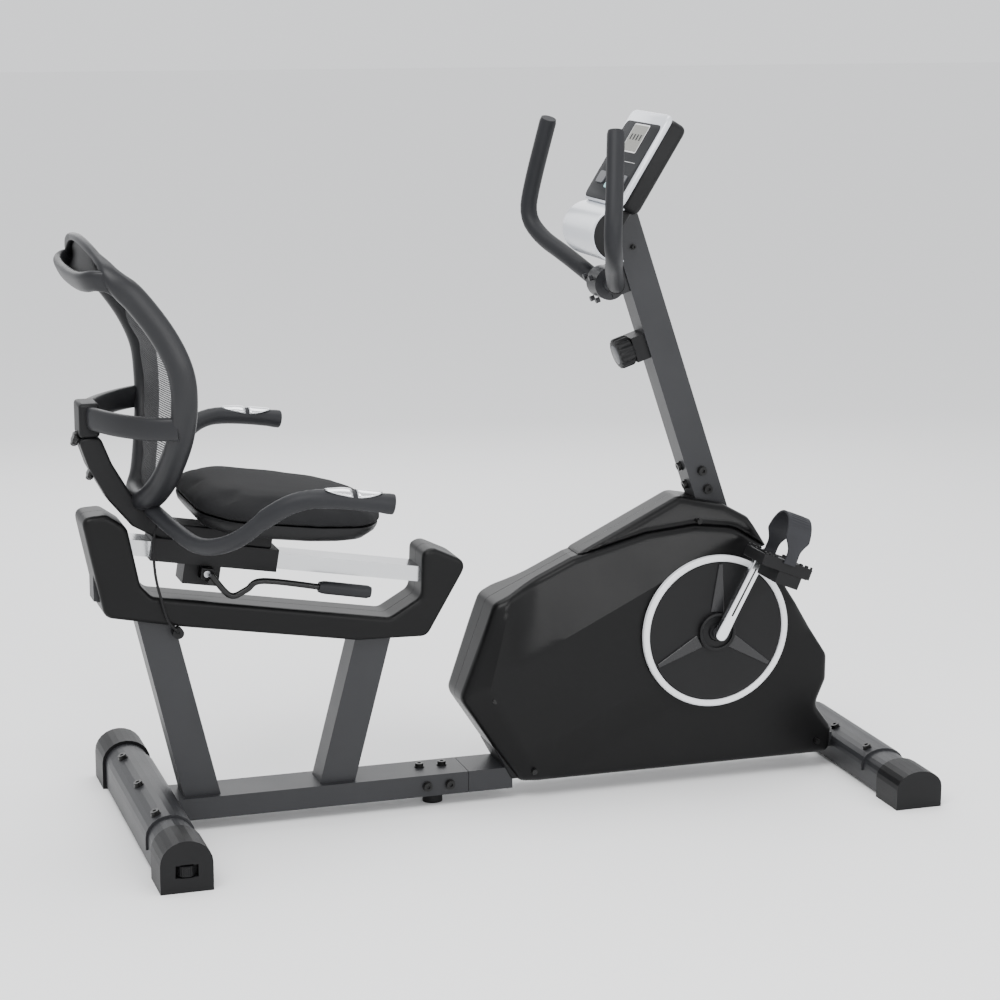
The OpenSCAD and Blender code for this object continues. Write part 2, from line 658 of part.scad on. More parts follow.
// ---------- seat ----------
pad_at = [-400, 0, 585.4];      // middle of the cushion's underside
pad_slope = 8;
module carriage() {
    out_h = 22;
    color("#252628") on_slide() difference() {
        union() {
            translate([sleeve_from, -38, -19]) cube([sleeve_to - sleeve_from, 76, 19 + out_h]);
            translate([-172, -30, -56]) cube([66, 60, 40]);
            translate([-146, -57, -40]) cube([22, 29, 20]);
        }
        translate([sleeve_from - 1, -seat_rail_w / 2 - 0.5, -seat_rail_h / 2 - 0.5])
            cube([sleeve_to - sleeve_from + 2, seat_rail_w + 1, seat_rail_h + 1]);
        translate([-166, -24, -57]) cube([54, 48, 38]);
        translate([-135, -20, -30]) rotate([90, 0, 0]) cylinder(r = 6.05, h = 60);
    }
}
// the cranked release rod and its plastic grip, beside the seat rail
lever_route = [[-533, -66, 484], [-494, -66, 436], [-444, -66, 470], [-330, -66, 446]];
module seat_lever() {
    color("#18181a") union() {
        sweep(soften(lever_route), 6, 6, 12, [0, 1, 0]);
        sweep([[-336, -66, 447], [-240, -66, 430]], 12, 10, 16, [0, 1, 0]);
        on_slide() translate([-135, -20.3, -30]) rotate([90, 0, 0]) cylinder(r = 6, h = 52);
    }
}
module seat_base() {
    color("#18181a") difference() {
        union() {
            translate([pad_at.x, 0, pad_at.z - 8.4]) rotate([0, pad_slope, 0]) union() {
                linear_extrude(8) polygon(rounded(pad_outline(0.93), 30));
                translate([0, 0, -22]) linear_extrude(22) polygon(rounded(pad_outline(0.72), 30));
            }
            on_slide() translate([-200, -34, 22]) cube([180, 68, 34]);
        }
        side_plate(spine_outline, -28, 28);
    }
}
// plan of the seat: wide and square behind, tapering to a rounded front
function pad_outline(k) = [for (p = [[-170, -120], [-120, -pad_half_w], [40, -pad_half_w + 10], [140,
    -145], [186, -60],
    [186, 60], [140, 145], [40, pad_half_w - 10], [-120, pad_half_w], [-170, 120]]) p * k];
module seat_pad() {
    color("#333438") translate(pad_at) rotate([0, pad_slope, 0]) linear_extrude(pad_t)
        polygon(rounded(pad_outline(1), 40, 5));
}
spine_outline = rounded([[-755, 734.5], [-737, 680], [-704, 620], [-664, 572], [-610, 542], [-560,
    536], [-560, 560],
    [-615, 572], [-664, 630], [-696, 686], [-715, 734.5]], 14);
module back_spine() {
    color("#1b1b1d") union() {
        difference() {
            side_plate(spine_outline, -28, 28);
            on_slide() translate([sleeve_from, -38, -19]) cube([sleeve_to - sleeve_from, 76, 41]);
        }
        for (p = [[-743, 726], [-718, 664]]) translate([p.x, 0, p.y]) rotate([0, -72, 0]) union() {
            cylinder(r = 8, h = 18);
            translate([0, 0, 8]) cylinder(r = 12, h = 8);
        }
        y_cyl(-638, 580, 8, -34, 34);
    }
}
// the moulded back: X follows the lumbar curve, Y the half width at each height
back_side = [[-640, 40, 622], [-625, 78, 648], [-612, 118, 690], [-600, 158, 750], [-596, 180, 810],
    [-602, 184, 868],
    [-628, 178, 928], [-672, 168, 990], [-712, 160, 1030], [-730, 120, 1046]];
back_path = soften_loop(concat(mirror_y(reversed(back_side)), back_side));
arch_path = [[-606, 182, 770], [-650, 158, 768], [-700, 100, 768], [-730, 40, 770]];
module back_frame() {
    color("#3a3b3f") union() {
        sweep(back_path, 17, 21, 12, [1, 0, 0.01], true);
        sweep(soften(concat(arch_path, mirror_y(reversed(arch_path)))), 10, 18, 12, [0, 0, 1]);
        block([-752, -32, 735], [-718, 32, 792]);
        sweep([[-700, -150, 985], [-712, -90, 990], [-715, 0, 992], [-712, 90, 990], [-700, 150, 985]],
            14, 18, 12);
    }
}
// knitted mesh stretched inside the frame, hollowed towards the rear between its edges
back_rows = 14;
back_cols = 12;
function back_x(z) = -600 - 0.0016 * pow(z - 800, 2) - (z < 800 ? 0 : 0.0006 * pow(z - 800, 2));
function back_w(z) = z < 800 ? 178 * sqrt(max(0.05, 1 - pow((800 - z) / 195,
    2))) : 180 - 0.0005 * pow(z - 840, 2);
function mesh_point(i, j, off) = let (z = 650 + 330 * i / back_rows, s = -1 + 2 * j / back_cols,
    w = back_w(z) - 8)
    [back_x(z) - 22 * (1 - s * s) + off, s * w, z];
module back_mesh() {
    n = back_cols + 1;
    grid = (back_rows + 1) * n;
    points = [for (off = [0, -3], i = [0:back_rows], j = [0:back_cols]) mesh_point(i, j, off)];
    front = [for (i = [0:back_rows - 1], j = [0:back_cols - 1]) let (a = i * n + j) each [[a, a + n,
        a + n + 1], [a, a + n + 1, a + 1]]];
    rear = [for (f = front) [f[0] + grid, f[2] + grid, f[1] + grid]];
    rim = concat([for (j = [0:back_cols - 1]) j + 0], [for (i = [0:back_rows - 1]) i * n + back_cols],
        [for (j = [back_cols:-1:1]) back_rows * n + j], [for (i = [back_rows:-1:1]) i * n]);
    edge = [for (k = [0:len(rim) - 1]) let (a = rim[k], b = rim[(k + 1) % len(rim)]) each [[a, b,
        b + grid], [a, b + grid, a + grid]]];
    color("#55565a") polyhedron(points, concat(front, rear, edge), convexity = 6);
}
arm_side = [[-632, 44, 604], [-606, 150, 582], [-584, 245, 574], [-540, 320, 600], [-500, 370, 652],
    [-450, 396, 684],
    [-380, 404, 682], [-294, 410, 668]];
module arm_bars() {
    path = soften(arm_side);
    color("#28292b") union() {
        sweep(path, 16, 16, 14);
        sweep(reversed(mirror_y(path)), 16, 16, 14);
        y_cyl(-632, 604, 15, -46, 46);
    }
}
// polished sensor plates let into the top of the hand grips
module pulse_plates() {
    color("#e3e4e6") both_sides() for (x = [-410, -358])
        translate([x, -404, 0]) translate([0, 0, 698 - (x + 410) * 0.13]) rotate([0, 8, 0]) block([0,
            -10, -3], [44, 10, 2.5]);
}

// ---------- pulse lead ----------
// the lead's route from the arm bar down the rear cover to its socket on the post
cable_route = [[-622, -58, 583], [-630, -62, 570], [-634, -64, 548], [-634, -64, 520], [-632, -62,
    494], [-628, -60, 470],
    [-622, -58, 446], [-616, -56, 422], [-608, -55, 400], [-597, -54, 386], [-590, -48, 377]];
module pulse_cable() { color("#0d0d0e") sweep(cable_route, 2.5, 2.5, 8, [0, 1, 0.2]); }
module cable_socket() {
    color("#0d0d0e") union() {
        translate([-590, -30, 376]) rotate([90, 0, 0]) cylinder(r = 10, h = 18);
    }
}

// ---------- output ----------
module place() { translate([origin_shift, 0, 0]) children(); }
place() rear_frame();
place() front_frame();
place() rear_stabiliser();
place() front_stabiliser();
place() rear_cap_left();
place() rear_cap_right();
place() front_cap_left();
place() front_cap_right();
place() frame_bolts();
place() panel_screws();
place() centre_foot();
place() seat_rail();
place() rail_cover_left();
place() rail_cover_right();
place() shroud_left();
place() shroud_right();
place() shroud_top_cover();
place() mast();
place() clamp_base();
place() clamp_cap();
place() knob_housing();
place() cable_socket();
place() crank_bearings();
place() flywheel_axle();
place() drive_belt();
place() console_housing();
place() console_panel();
place() console_screen();
place() pulse_cable();
place() crank_axle();
place() crank_arm_left();
place() crank_arm_right();
place() drive_pulley();
place() crank_disc_left();
place() crank_disc_right();
place() crank_rings();
place() pedal_left();
place() pedal_right();
place() strap_left();
place() strap_right();
place() flywheel();
place() magnet_bracket();
place() tension_knob();
place() handlebar();
place() button_left();
place() button_centre();
place() button_right();
place() carriage();
place() seat_base();
place() seat_pad();
place() back_spine();
place() back_frame();
place() back_mesh();
place() arm_bars();
place() pulse_plates();
place() seat_lever();
place() transport_wheel_left();
place() transport_wheel_right();
place() level_wheel_left();
place() level_wheel_right();
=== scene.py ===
import math

import bmesh
import bpy
from mathutils import Matrix, Vector, geometry


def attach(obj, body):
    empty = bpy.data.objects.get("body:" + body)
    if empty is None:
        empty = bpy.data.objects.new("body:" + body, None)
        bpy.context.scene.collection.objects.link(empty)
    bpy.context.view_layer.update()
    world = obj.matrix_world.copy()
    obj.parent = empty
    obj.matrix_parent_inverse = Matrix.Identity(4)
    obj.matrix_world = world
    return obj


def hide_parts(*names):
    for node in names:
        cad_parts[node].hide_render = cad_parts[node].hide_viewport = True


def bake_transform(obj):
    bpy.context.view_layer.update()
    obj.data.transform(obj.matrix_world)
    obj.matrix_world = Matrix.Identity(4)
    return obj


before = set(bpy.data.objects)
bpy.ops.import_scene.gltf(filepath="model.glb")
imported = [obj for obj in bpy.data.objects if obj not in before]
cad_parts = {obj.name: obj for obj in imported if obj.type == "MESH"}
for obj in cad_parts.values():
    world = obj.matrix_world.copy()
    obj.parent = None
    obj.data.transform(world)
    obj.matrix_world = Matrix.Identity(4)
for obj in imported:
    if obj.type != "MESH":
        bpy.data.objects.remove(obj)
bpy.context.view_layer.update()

# The design is drawn in millimetres with its own zero; the frame's origin lies under the middle of the box.
DESIGN_SHIFT = -18


def at(x, y, z):
    """A point of the design, in the frame's metres."""
    return Vector(((x + DESIGN_SHIFT) / 1000, y / 1000, z / 1000))


def lerp(a, b, t):
    return a + (b - a) * t


def clamp01(t):
    return max(0.0, min(1.0, t))


def smooth(t):
    t = clamp01(t)
    return t * t * (3 - 2 * t)


# ---------- camera, floor and light ----------
def set_camera():
    azimuth, elevation, roll = (math.radians(a) for a in (-18.253, 12.214, 0.237))
    back = Vector((math.sin(azimuth) * math.cos(elevation), -math.cos(azimuth) * math.cos(elevation),
                   math.sin(elevation)))
    right = (-back).cross(Vector((0, 0, 1))).normalized()
    up = right.cross(-back)
    tilted_right = right * math.cos(roll) + up * math.sin(roll)
    tilted_up = up * math.cos(roll) - right * math.sin(roll)
    data = bpy.data.cameras.new("camera")
    data.sensor_width = 36
    data.lens = 90.69
    data.clip_end = 50
    camera = bpy.data.objects.new("camera", data)
    bpy.context.scene.collection.objects.link(camera)
    turn = Matrix((tilted_right, tilted_up, back)).transposed()
    camera.matrix_world = Matrix.Translation(at(-1403.4, -4333.9, 1558)) @ turn.to_4x4()
    bpy.context.scene.camera = camera


def area_light(name, place, aim, size, power):
    data = bpy.data.lights.new(name, "AREA")
    data.shape = "RECTANGLE"
    data.size, data.size_y = size
    data.energy = power
    light = bpy.data.objects.new(name, data)
    bpy.context.scene.collection.objects.link(light)
    direction = Vector(place) - Vector(aim)
    light.matrix_world = Matrix.Translation(place) @ direction.to_track_quat("Z", "Y").to_matrix().to_4x4()


def make_stage():
    world = bpy.data.worlds.new("studio")
    world.use_nodes = True
    world.node_tree.nodes["Background"].inputs["Color"].default_value = (0.95, 0.96, 0.98, 1)
    world.node_tree.nodes["Background"].inputs["Strength"].default_value = 1.25
    bpy.context.scene.world = world
    mesh = bpy.data.meshes.new("floor")
    reach = 30
    corners = [(-reach, -reach, 0), (reach, -reach, 0), (reach, reach, 0), (-reach, reach, 0)]
    mesh.from_pydata(corners, [], [(0, 1, 2, 3)])
    floor = add_object("floor", mesh)
    shade = bpy.data.materials.new("floor_pale")
    shade.use_nodes = True
    principled = shade.node_tree.nodes["Principled BSDF"]
    principled.inputs["Base Color"].default_value = (0.93, 0.93, 0.93, 1)
    principled.inputs["Roughness"].default_value = 0.9
    principled.inputs["Specular IOR Level"].default_value = 0.1
    mesh.materials.append(shade)
    area_light("key", (-1.6, -2.2, 3.4), (0, 0, 0.5), (2.4, 1.6), 105)
    area_light("facet", (0.5, -3.2, 1.4), (0.25, 0, 0.4), (1.5, 0.5), 30)
    area_light("fill", (2.6, -2.6, 2.0), (0, 0, 0.6), (1.8, 2.4), 30)
    area_light("top", (0.2, 0.6, 3.2), (0, 0, 0.6), (3.0, 1.6), 55)
    area_light("back", (0.5, 3.2, 1.8), (0, 0, 0.7), (3.5, 1.5), 30)


# ---------- materials ----------
GLOSS_DRIFT = 0.06


def material(name, colour, rough, grain, bump, metal=0.0, vary=0.12, coat=0.0, stretch=(1, 1, 1), spots="noise",
             spec=0.5):
    """A procedural finish: fine grain as bump, a broad drift of colour, and uneven gloss."""
    made = bpy.data.materials.new(name)
    made.use_nodes = True
    tree = made.node_tree
    shader = tree.nodes["Principled BSDF"]
    shader.inputs["Metallic"].default_value = metal
    shader.inputs["Coat Weight"].default_value = coat
    shader.inputs["Specular IOR Level"].default_value = spec
    shader.inputs["Coat Roughness"].default_value = 0.15
    place = tree.nodes.new("ShaderNodeTexCoord")
    spread = tree.nodes.new("ShaderNodeMapping")
    spread.inputs["Scale"].default_value = stretch
    tree.links.new(place.outputs["Object"], spread.inputs["Vector"])
    drift = tree.nodes.new("ShaderNodeTexNoise")
    drift.inputs["Scale"].default_value = 9
    drift.inputs["Detail"].default_value = 4
    tree.links.new(spread.outputs["Vector"], drift.inputs["Vector"])
    tint = tree.nodes.new("ShaderNodeValToRGB")
    tint.color_ramp.elements[0].position = 0.3
    tint.color_ramp.elements[1].position = 0.7
    for element, gain in zip(tint.color_ramp.elements, (1 - vary, 1 + vary)):
        element.color = (*(min(1.0, c * gain) for c in colour), 1)
    tree.links.new(drift.outputs["Fac"], tint.inputs["Fac"])
    tree.links.new(tint.outputs["Color"], shader.inputs["Base Color"])
    fine = tree.nodes.new("ShaderNodeTexVoronoi" if spots == "voronoi" else "ShaderNodeTexNoise")
    fine.inputs["Scale"].default_value = grain
    tree.links.new(spread.outputs["Vector"], fine.inputs["Vector"])
    gloss = tree.nodes.new("ShaderNodeMapRange")
    gloss.inputs["To Min"].default_value = max(0.02, rough - GLOSS_DRIFT)
    gloss.inputs["To Max"].default_value = min(1.0, rough + GLOSS_DRIFT)
    tree.links.new(drift.outputs["Fac"], gloss.inputs["Value"])
    tree.links.new(gloss.outputs["Result"], shader.inputs["Roughness"])
    relief = tree.nodes.new("ShaderNodeBump")
    relief.inputs["Strength"].default_value = bump
    relief.inputs["Distance"].default_value = 0.0006
    tree.links.new(fine.outputs["Distance" if spots == "voronoi" else "Fac"], relief.inputs["Height"])
    tree.links.new(relief.outputs["Normal"], shader.inputs["Normal"])
    return made


def mesh_cloth(name):
    """Knitted mesh: rows of small round holes between threads."""
    made = material(name, (0.04, 0.04, 0.042), 0.7, grain=1500, bump=0.3, spec=0.2)
    tree = made.node_tree
    shader = tree.nodes["Principled BSDF"]
    place = tree.nodes.new("ShaderNodeTexCoord")
    split = tree.nodes.new("ShaderNodeSeparateXYZ")
    tree.links.new(place.outputs["Object"], split.inputs["Vector"])
    waves = []
    for axis, pitch in (("Y", 0.0052), ("Z", 0.0040)):
        angle = tree.nodes.new("ShaderNodeMath")
        angle.operation = "MULTIPLY"
        angle.inputs[1].default_value = 2 * math.pi / pitch
        tree.links.new(split.outputs[axis], angle.inputs[0])
        wave = tree.nodes.new("ShaderNodeMath")
        wave.operation = "SINE"
        tree.links.new(angle.outputs["Value"], wave.inputs[0])
        waves.append(wave)
    total = tree.nodes.new("ShaderNodeMath")
    total.operation = "ADD"
    for i, wave in enumerate(waves):
        tree.links.new(wave.outputs["Value"], total.inputs[i])
    thread = tree.nodes.new("ShaderNodeMath")
    thread.operation = "LESS_THAN"
    thread.inputs[1].default_value = 0.6
    tree.links.new(total.outputs["Value"], thread.inputs[0])
    tree.links.new(thread.outputs["Value"], shader.inputs["Alpha"])
    return made


MAT = {
    "paint": material("graphite_paint", (0.019, 0.0195, 0.0215), 0.42, metal=0.1, grain=1400, bump=0.12,
                      spec=0.35),
    "plastic": material("black_plastic", (0.006, 0.006, 0.0065), 0.45, grain=1600, bump=0.15, spec=0.2),
    "grained": material("grained_plastic", (0.004, 0.004, 0.0042), 0.4, grain=700, bump=0.2,
                        stretch=(0.12, 0.12, 1.6), spec=0.16),
    "shroud": material("shroud_plastic", (0.0032, 0.0032, 0.0034), 0.33, grain=1800, bump=0.06, spec=0.17),
    "ring": material("ring_silver", (0.72, 0.73, 0.75), 0.3, grain=500, bump=0.03, vary=0.03),
    "crank": material("plated_steel", (0.75, 0.76, 0.78), 0.24, metal=1, grain=400, bump=0.04, vary=0.05),
    "aluminium": material("polished_aluminium", (0.52, 0.53, 0.54), 0.2, metal=1, grain=260, bump=0.05,
                          vary=0.05, stretch=(0.08, 1, 1)),
    "vinyl": material("seat_vinyl", (0.012, 0.0121, 0.0129), 0.78, grain=420, bump=0.3, spots="voronoi",
                      spec=0.1),
    "foam": material("foam_sleeve", (0.014, 0.0145, 0.0165), 0.5, grain=900, bump=0.22, spec=0.22),
    "back": material("back_plastic", (0.0145, 0.0148, 0.0165), 0.4, grain=1500, bump=0.1, spec=0.27),
    "cloth": mesh_cloth("knitted_mesh"),
    "silver": material("silver_lacquer", (0.6, 0.62, 0.66), 0.24, metal=0.2, grain=900, bump=0.02, vary=0.03,
                       coat=0.3),
    "overlay": material("console_overlay", (0.009, 0.0098, 0.0115), 0.55, grain=1200, bump=0.04, spec=0.12),
    "lcd": material("liquid_crystal", (0.085, 0.085, 0.068), 0.2, grain=300, bump=0.01, vary=0.05, spec=0.3),
    "white_line": material("printed_line", (0.6, 0.6, 0.6), 0.5, grain=900, bump=0.02, vary=0.02),
    "cyan_key": material("cyan_key", (0.3, 0.55, 0.56), 0.45, grain=900, bump=0.03, vary=0.04),
    "grey_key": material("grey_key", (0.06, 0.062, 0.07), 0.45, grain=900, bump=0.03, vary=0.04),
    "rubber": material("ribbed_rubber", (0.012, 0.0125, 0.0155), 0.5, grain=700, bump=0.15, spec=0.3),
    "bolt": material("black_bolt", (0.01, 0.01, 0.01), 0.3, metal=0.5, grain=600, bump=0.05),
    "steel": material("bare_steel", (0.4, 0.41, 0.43), 0.35, metal=1, grain=300, bump=0.06),
    "iron": material("cast_iron", (0.12, 0.12, 0.125), 0.5, metal=0.8, grain=300, bump=0.3),
    "spoke": material("disc_spoke", (0.012, 0.012, 0.013), 0.24, grain=900, bump=0.04, spec=0.4),
    "knob_face": material("knob_face", (0.05, 0.052, 0.058), 0.35, grain=900, bump=0.05),
}


# ---------- mesh helpers ----------
def add_object(name, mesh):
    obj = bpy.data.objects.new(name, mesh)
    bpy.context.scene.collection.objects.link(obj)
    return obj


def piece(name, verts, faces, look, body, flat_angle, replaces=()):
    """A shown piece of one body, from points and faces."""
    mesh = bpy.data.meshes.new(name)
    mesh.from_pydata([tuple(v) for v in verts], [], faces)
    mesh.validate()
    obj = add_object(name, mesh)
    clean = bmesh.new()
    clean.from_mesh(mesh)
    bmesh.ops.remove_doubles(clean, verts=clean.verts, dist=1e-6)
    bmesh.ops.recalc_face_normals(clean, faces=clean.faces)
    clean.to_mesh(mesh)
    clean.free()
    return dress(obj, look, body, flat_angle, replaces)


def dress(obj, look, body, flat_angle, replaces):
    """Gives an object its material, its body and the design pieces it stands for."""
    obj.data.materials.clear()
    obj.data.materials.append(MAT[look])
    for face in obj.data.polygons:
        face.use_smooth = True
    obj.data.set_sharp_from_angle(angle=math.radians(flat_angle))
    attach(obj, body)
    if replaces:
        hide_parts(*replaces)
    return obj


def bevel(obj, width, segments, angle):
    """width is in millimetres, angle in degrees."""
    cut = obj.modifiers.new("bevel", "BEVEL")
    cut.width = width / 1000
    cut.segments = segments
    cut.limit_method = "ANGLE"
    cut.angle_limit = math.radians(angle)
    return obj


def wall(obj, thickness, offset):
    """Gives a sheet a thickness in millimetres."""
    thick = obj.modifiers.new("wall", "SOLIDIFY")
    thick.thickness = thickness / 1000
    thick.offset = offset
    return obj


def prism_faces(n):
    """Faces between two outlines of n points."""
    walls = [(i, (i + 1) % n, n + (i + 1) % n, n + i) for i in range(n)]
    return [tuple(range(n)), tuple(reversed(range(n, 2 * n)))] + walls


def grid_faces(across, up):
    """Faces of a grid of points, with this many quads across and up."""
    starts = [j * (across + 1) + i for j in range(up) for i in range(across)]
    return [(a, a + 1, a + across + 2, a + across + 1) for a in starts]


def turned(centre, side, other, shift, radius, angle):
    """A point of a turned shape about the axis that side and other stand square to."""
    return Vector(centre) + shift + (side * math.cos(angle) + other * math.sin(angle)) * radius


def catmull(points, per_span, loop=False):
    """A smooth curve through the points."""
    out = []
    n = len(points)
    spans = n if loop else n - 1
    for i in range(spans):
        if loop:
            p = [Vector(points[(i + k - 1) % n]) for k in range(4)]
        else:
            p = [Vector(points[min(max(i + k - 1, 0), n - 1)]) for k in range(4)]
        for s in range(per_span):
            t = s / per_span
            out.append(0.5 * ((2 * p[1]) + (p[2] - p[0]) * t + (2 * p[0] - 5 * p[1] + 4 * p[2] - p[3]) * t * t
                              + (3 * p[1] - p[0] - 3 * p[2] + p[3]) * t * t * t))
    if not loop:
        out.append(Vector(points[-1]))
    return out


def soften(points, times):
    """Corner cutting, as the design rounds its bars."""
    line = [Vector(p) for p in points]
    for _ in range(times):
        cut = [line[0]]
        for a, b in zip(line, line[1:]):
            cut += [a * 0.75 + b * 0.25, a * 0.25 + b * 0.75]
        line = cut + [line[-1]]
    return line


def resample(line, step):
    """Points every step millimetres along a line."""
    line = [Vector(p) for p in line]
    out = [line[0].copy()]
    left = step
    for a, b in zip(line, line[1:]):
        run = (b - a).length
        while run >= left and run > 0:
            a = a.lerp(b, left / run)
            out.append(a.copy())
            run = (b - a).length
            left = step
        left -= run
    if (out[-1] - line[-1]).length > step * 0.3:
        out.append(line[-1])
    return out


def tube_mesh(line, radius, sides, ref, loop=False, power=2.0):
    """Vertices and faces of a swept tube. radius is a number, a pair, or a function of the share along."""
    n = len(line)
    verts, faces = [], []
    for i, p in enumerate(line):
        a = line[(i - 1) % n] if loop else line[max(i - 1, 0)]
        b = line[(i + 1) % n] if loop else line[min(i + 1, n - 1)]
        t = (b - a).normalized()
        u = t.cross(Vector(ref)).normalized()
        v = t.cross(u)
        r = radius(i / (n if loop else n - 1)) if callable(radius) else radius
        ra, rb = r if isinstance(r, tuple) else (r, r)
        for k in range(sides):
            w = 2 * math.pi * k / sides
            c, s = math.cos(w), math.sin(w)
            c = math.copysign(abs(c) ** (2 / power), c)
            s = math.copysign(abs(s) ** (2 / power), s)
            verts.append(p + u * ra * c + v * rb * s)
    for i in range(n if loop else n - 1):
        a, b = i * sides, ((i + 1) % n) * sides
        for k in range(sides):
            q = (k + 1) % sides
            faces.append((a + k, a + q, b + q, b + k))
    if not loop:
        faces.append(tuple(reversed(range(sides))))
        faces.append(tuple(range((n - 1) * sides, n * sides)))
    return verts, faces


def tube(name, line, radius, look, body, sides, ref, loop=False, replaces=(), power=2.0):
    verts, faces = tube_mesh([Vector(p) for p in line], radius, sides, ref, loop, power)
    return piece(name, [at(*v) for v in verts], faces, look, body, 40, replaces)


def rounded(points, r, n=6):
    """An outline with arcs in place of its corners."""
    out = []
    m = len(points)
    radii = r if isinstance(r, (list, tuple)) else [r] * m
    for i in range(m):
        a, b, c = (Vector(points[(i + k) % m]) for k in (-1, 0, 1))
        u, v = (a - b).normalized(), (c - b).normalized()
        half = math.acos(max(-1, min(1, u.dot(v)))) / 2
        cut = min(radii[i] / math.tan(half), (a - b).length * 0.45, (c - b).length * 0.45)
        p, q = b + u * cut, b + v * cut
        for k in range(n + 1):
            s = k / n
            out.append(p * (1 - s) ** 2 + b * 2 * s * (1 - s) + q * s * s)
    return out


def plate(name, outline, y0, y1, look, body, edge, replaces=(), place=at, segments=3):
    """An X-Z outline as a bevelled plate between two Y values."""
    verts = [place(p[0], y, p[1]) for y in (y0, y1) for p in outline]
    obj = piece(name, verts, prism_faces(len(outline)), look, body, 35, replaces)
    return bevel(obj, edge, segments, 50)


def inside(outline, p):
    """Whether the point lies within the outline."""
    hit = False
    n = len(outline)
    for i in range(n):
        a, b = outline[i], outline[(i + 1) % n]
        if (a[1] > p[1]) != (b[1] > p[1]) and p[0] < (b[0] - a[0]) * (p[1] - a[1]) / (b[1] - a[1]) + a[0]:
            hit = not hit
    return hit


def edge_distance(outline, p):
    """How far the point is from the outline."""
    p = Vector((p[0], p[1]))
    best = 1e9
    n = len(outline)
    for i in range(n):
        a, b = Vector(outline[i]), Vector(outline[(i + 1) % n])
        ab = b - a
        t = clamp01((p - a).dot(ab) / max(ab.length_squared, 1e-9))
        best = min(best, (a + ab * t - p).length)
    return best


def dense(outline, step):
    """The same outline with points added along its straight runs."""
    out = []
    n = len(outline)
    for i in range(n):
        a, b = Vector(outline[i][:2]), Vector(outline[(i + 1) % n][:2])
        cuts = max(1, int((b - a).length / step))
        out += [a.lerp(b, k / cuts) for k in range(cuts)]
    return out


def side_of(a, b, p):
    """Signed distance of p to the left of the line from a to b."""
    across = (b[0] - a[0]) * (p[1] - a[1]) - (b[1] - a[1]) * (p[0] - a[0])
    return across / math.hypot(b[0] - a[0], b[1] - a[1])


def relief_mesh(outline, depth, step, rings, creases):
    """A moulded panel over an X-Z outline: depth(x, z, distance to the edge) gives how far it stands out.

    Returns the points (x, z, depth) and the triangles.
    """
    outline = dense(outline, step * 0.8)
    points = [Vector((p[0], p[1])) for p in outline]
    count = len(points)
    edges = [(i, (i + 1) % count) for i in range(count)]
    low = [min(p[k] for p in outline) for k in (0, 1)]
    high = [max(p[k] for p in outline) for k in (0, 1)]
    centre_ring = max(rings)
    for a, b in creases:
        first = len(points)
        run = math.hypot(b[0] - a[0], b[1] - a[1])
        n = max(2, int(run / step))
        for k in range(n + 1):
            points.append(Vector((lerp(a[0], b[0], k / n), lerp(a[1], b[1], k / n))))
        edges += [(first + k, first + k + 1) for k in range(n)]
    for ring in rings:
        for i in range(count):
            a, b, c = (Vector(outline[(i + k) % count]) for k in (-1, 0, 1))
            along = c - a
            if along.length < 1e-6:
                continue
            normal = Vector((-along.y, along.x)).normalized()
            for sign in (1, -1):
                q = b + normal * ring * sign
                if inside(outline, q) and edge_distance(outline, q) > ring * 0.96:
                    points.append(q)
    x = low[0]
    while x < high[0]:
        z = low[1]
        while z < high[1]:
            if inside(outline, (x, z)) and edge_distance(outline, (x, z)) > centre_ring + step * 0.5:
                points.append(Vector((x, z)))
            z += step
        x += step
    got = geometry.delaunay_2d_cdt(points, edges, [], 1, 1e-3)
    verts = [(v.x, v.y, depth(v.x, v.y, edge_distance(outline, v))) for v in got[0]]
    return verts, [tuple(f) for f in got[2]]


def moulded_half(name, outline, depth, look, body, side, seam, replaces, step=10.0,
                 rings=(1.5, 3.5, 6, 9, 13, 19), creases=()):
    """Half of a casing: a relief panel whose rim runs in to the seam. side is -1 for the rider's right."""
    verts, faces = relief_mesh(outline, depth, step, rings, creases)
    mesh = bmesh.new()
    made = [mesh.verts.new(at(x, side * d, z)) for x, z, d in verts]
    for f in faces:
        if len(set(f)) == len(f):
            try:
                mesh.faces.new([made[i] for i in f])
            except ValueError:
                pass
    rim = [e for e in mesh.edges if len(e.link_faces) == 1]
    for share in (0.93, 0.03, 0.0):
        grown = bmesh.ops.extrude_edge_only(mesh, edges=rim)["geom"]
        new_verts = [g for g in grown if isinstance(g, bmesh.types.BMVert)]
        rim = [g for g in grown if isinstance(g, bmesh.types.BMEdge) and all(v in new_verts for v in g.verts)]
        for v in new_verts:
            v.co.y = v.co.y * share if share else side * seam / 1000
    bmesh.ops.recalc_face_normals(mesh, faces=mesh.faces)
    data = bpy.data.meshes.new(name)
    mesh.to_mesh(data)
    mesh.free()
    return wall(dress(add_object(name, data), look, body, 50, replaces), 2.5, -1)


def lathe(name, profile, centre, axis, look, body, sides, replaces=(), lobes=None):
    """A turned piece. profile is (radius, height along the axis) pairs, centre a design point."""
    axis = Vector(axis).normalized()
    side = axis.cross(Vector((0.3, 0.9, 0.1))).normalized()
    other = axis.cross(side)
    verts, faces = [], []
    n = len(profile)
    for i, (r, h) in enumerate(profile):
        for k in range(sides):
            w = 2 * math.pi * k / sides
            rr = lobes(r, h, w) if lobes else r
            verts.append(turned(centre, side, other, axis * h, rr, w))
    for i in range(n - 1):
        for k in range(sides):
            q = (k + 1) % sides
            faces.append((i * sides + k, i * sides + q, (i + 1) * sides + q, (i + 1) * sides + k))
    faces.append(tuple(reversed(range(sides))))
    faces.append(tuple(range((n - 1) * sides, n * sides)))
    return piece(name, [at(*v) for v in verts], faces, look, body, 30, replaces)


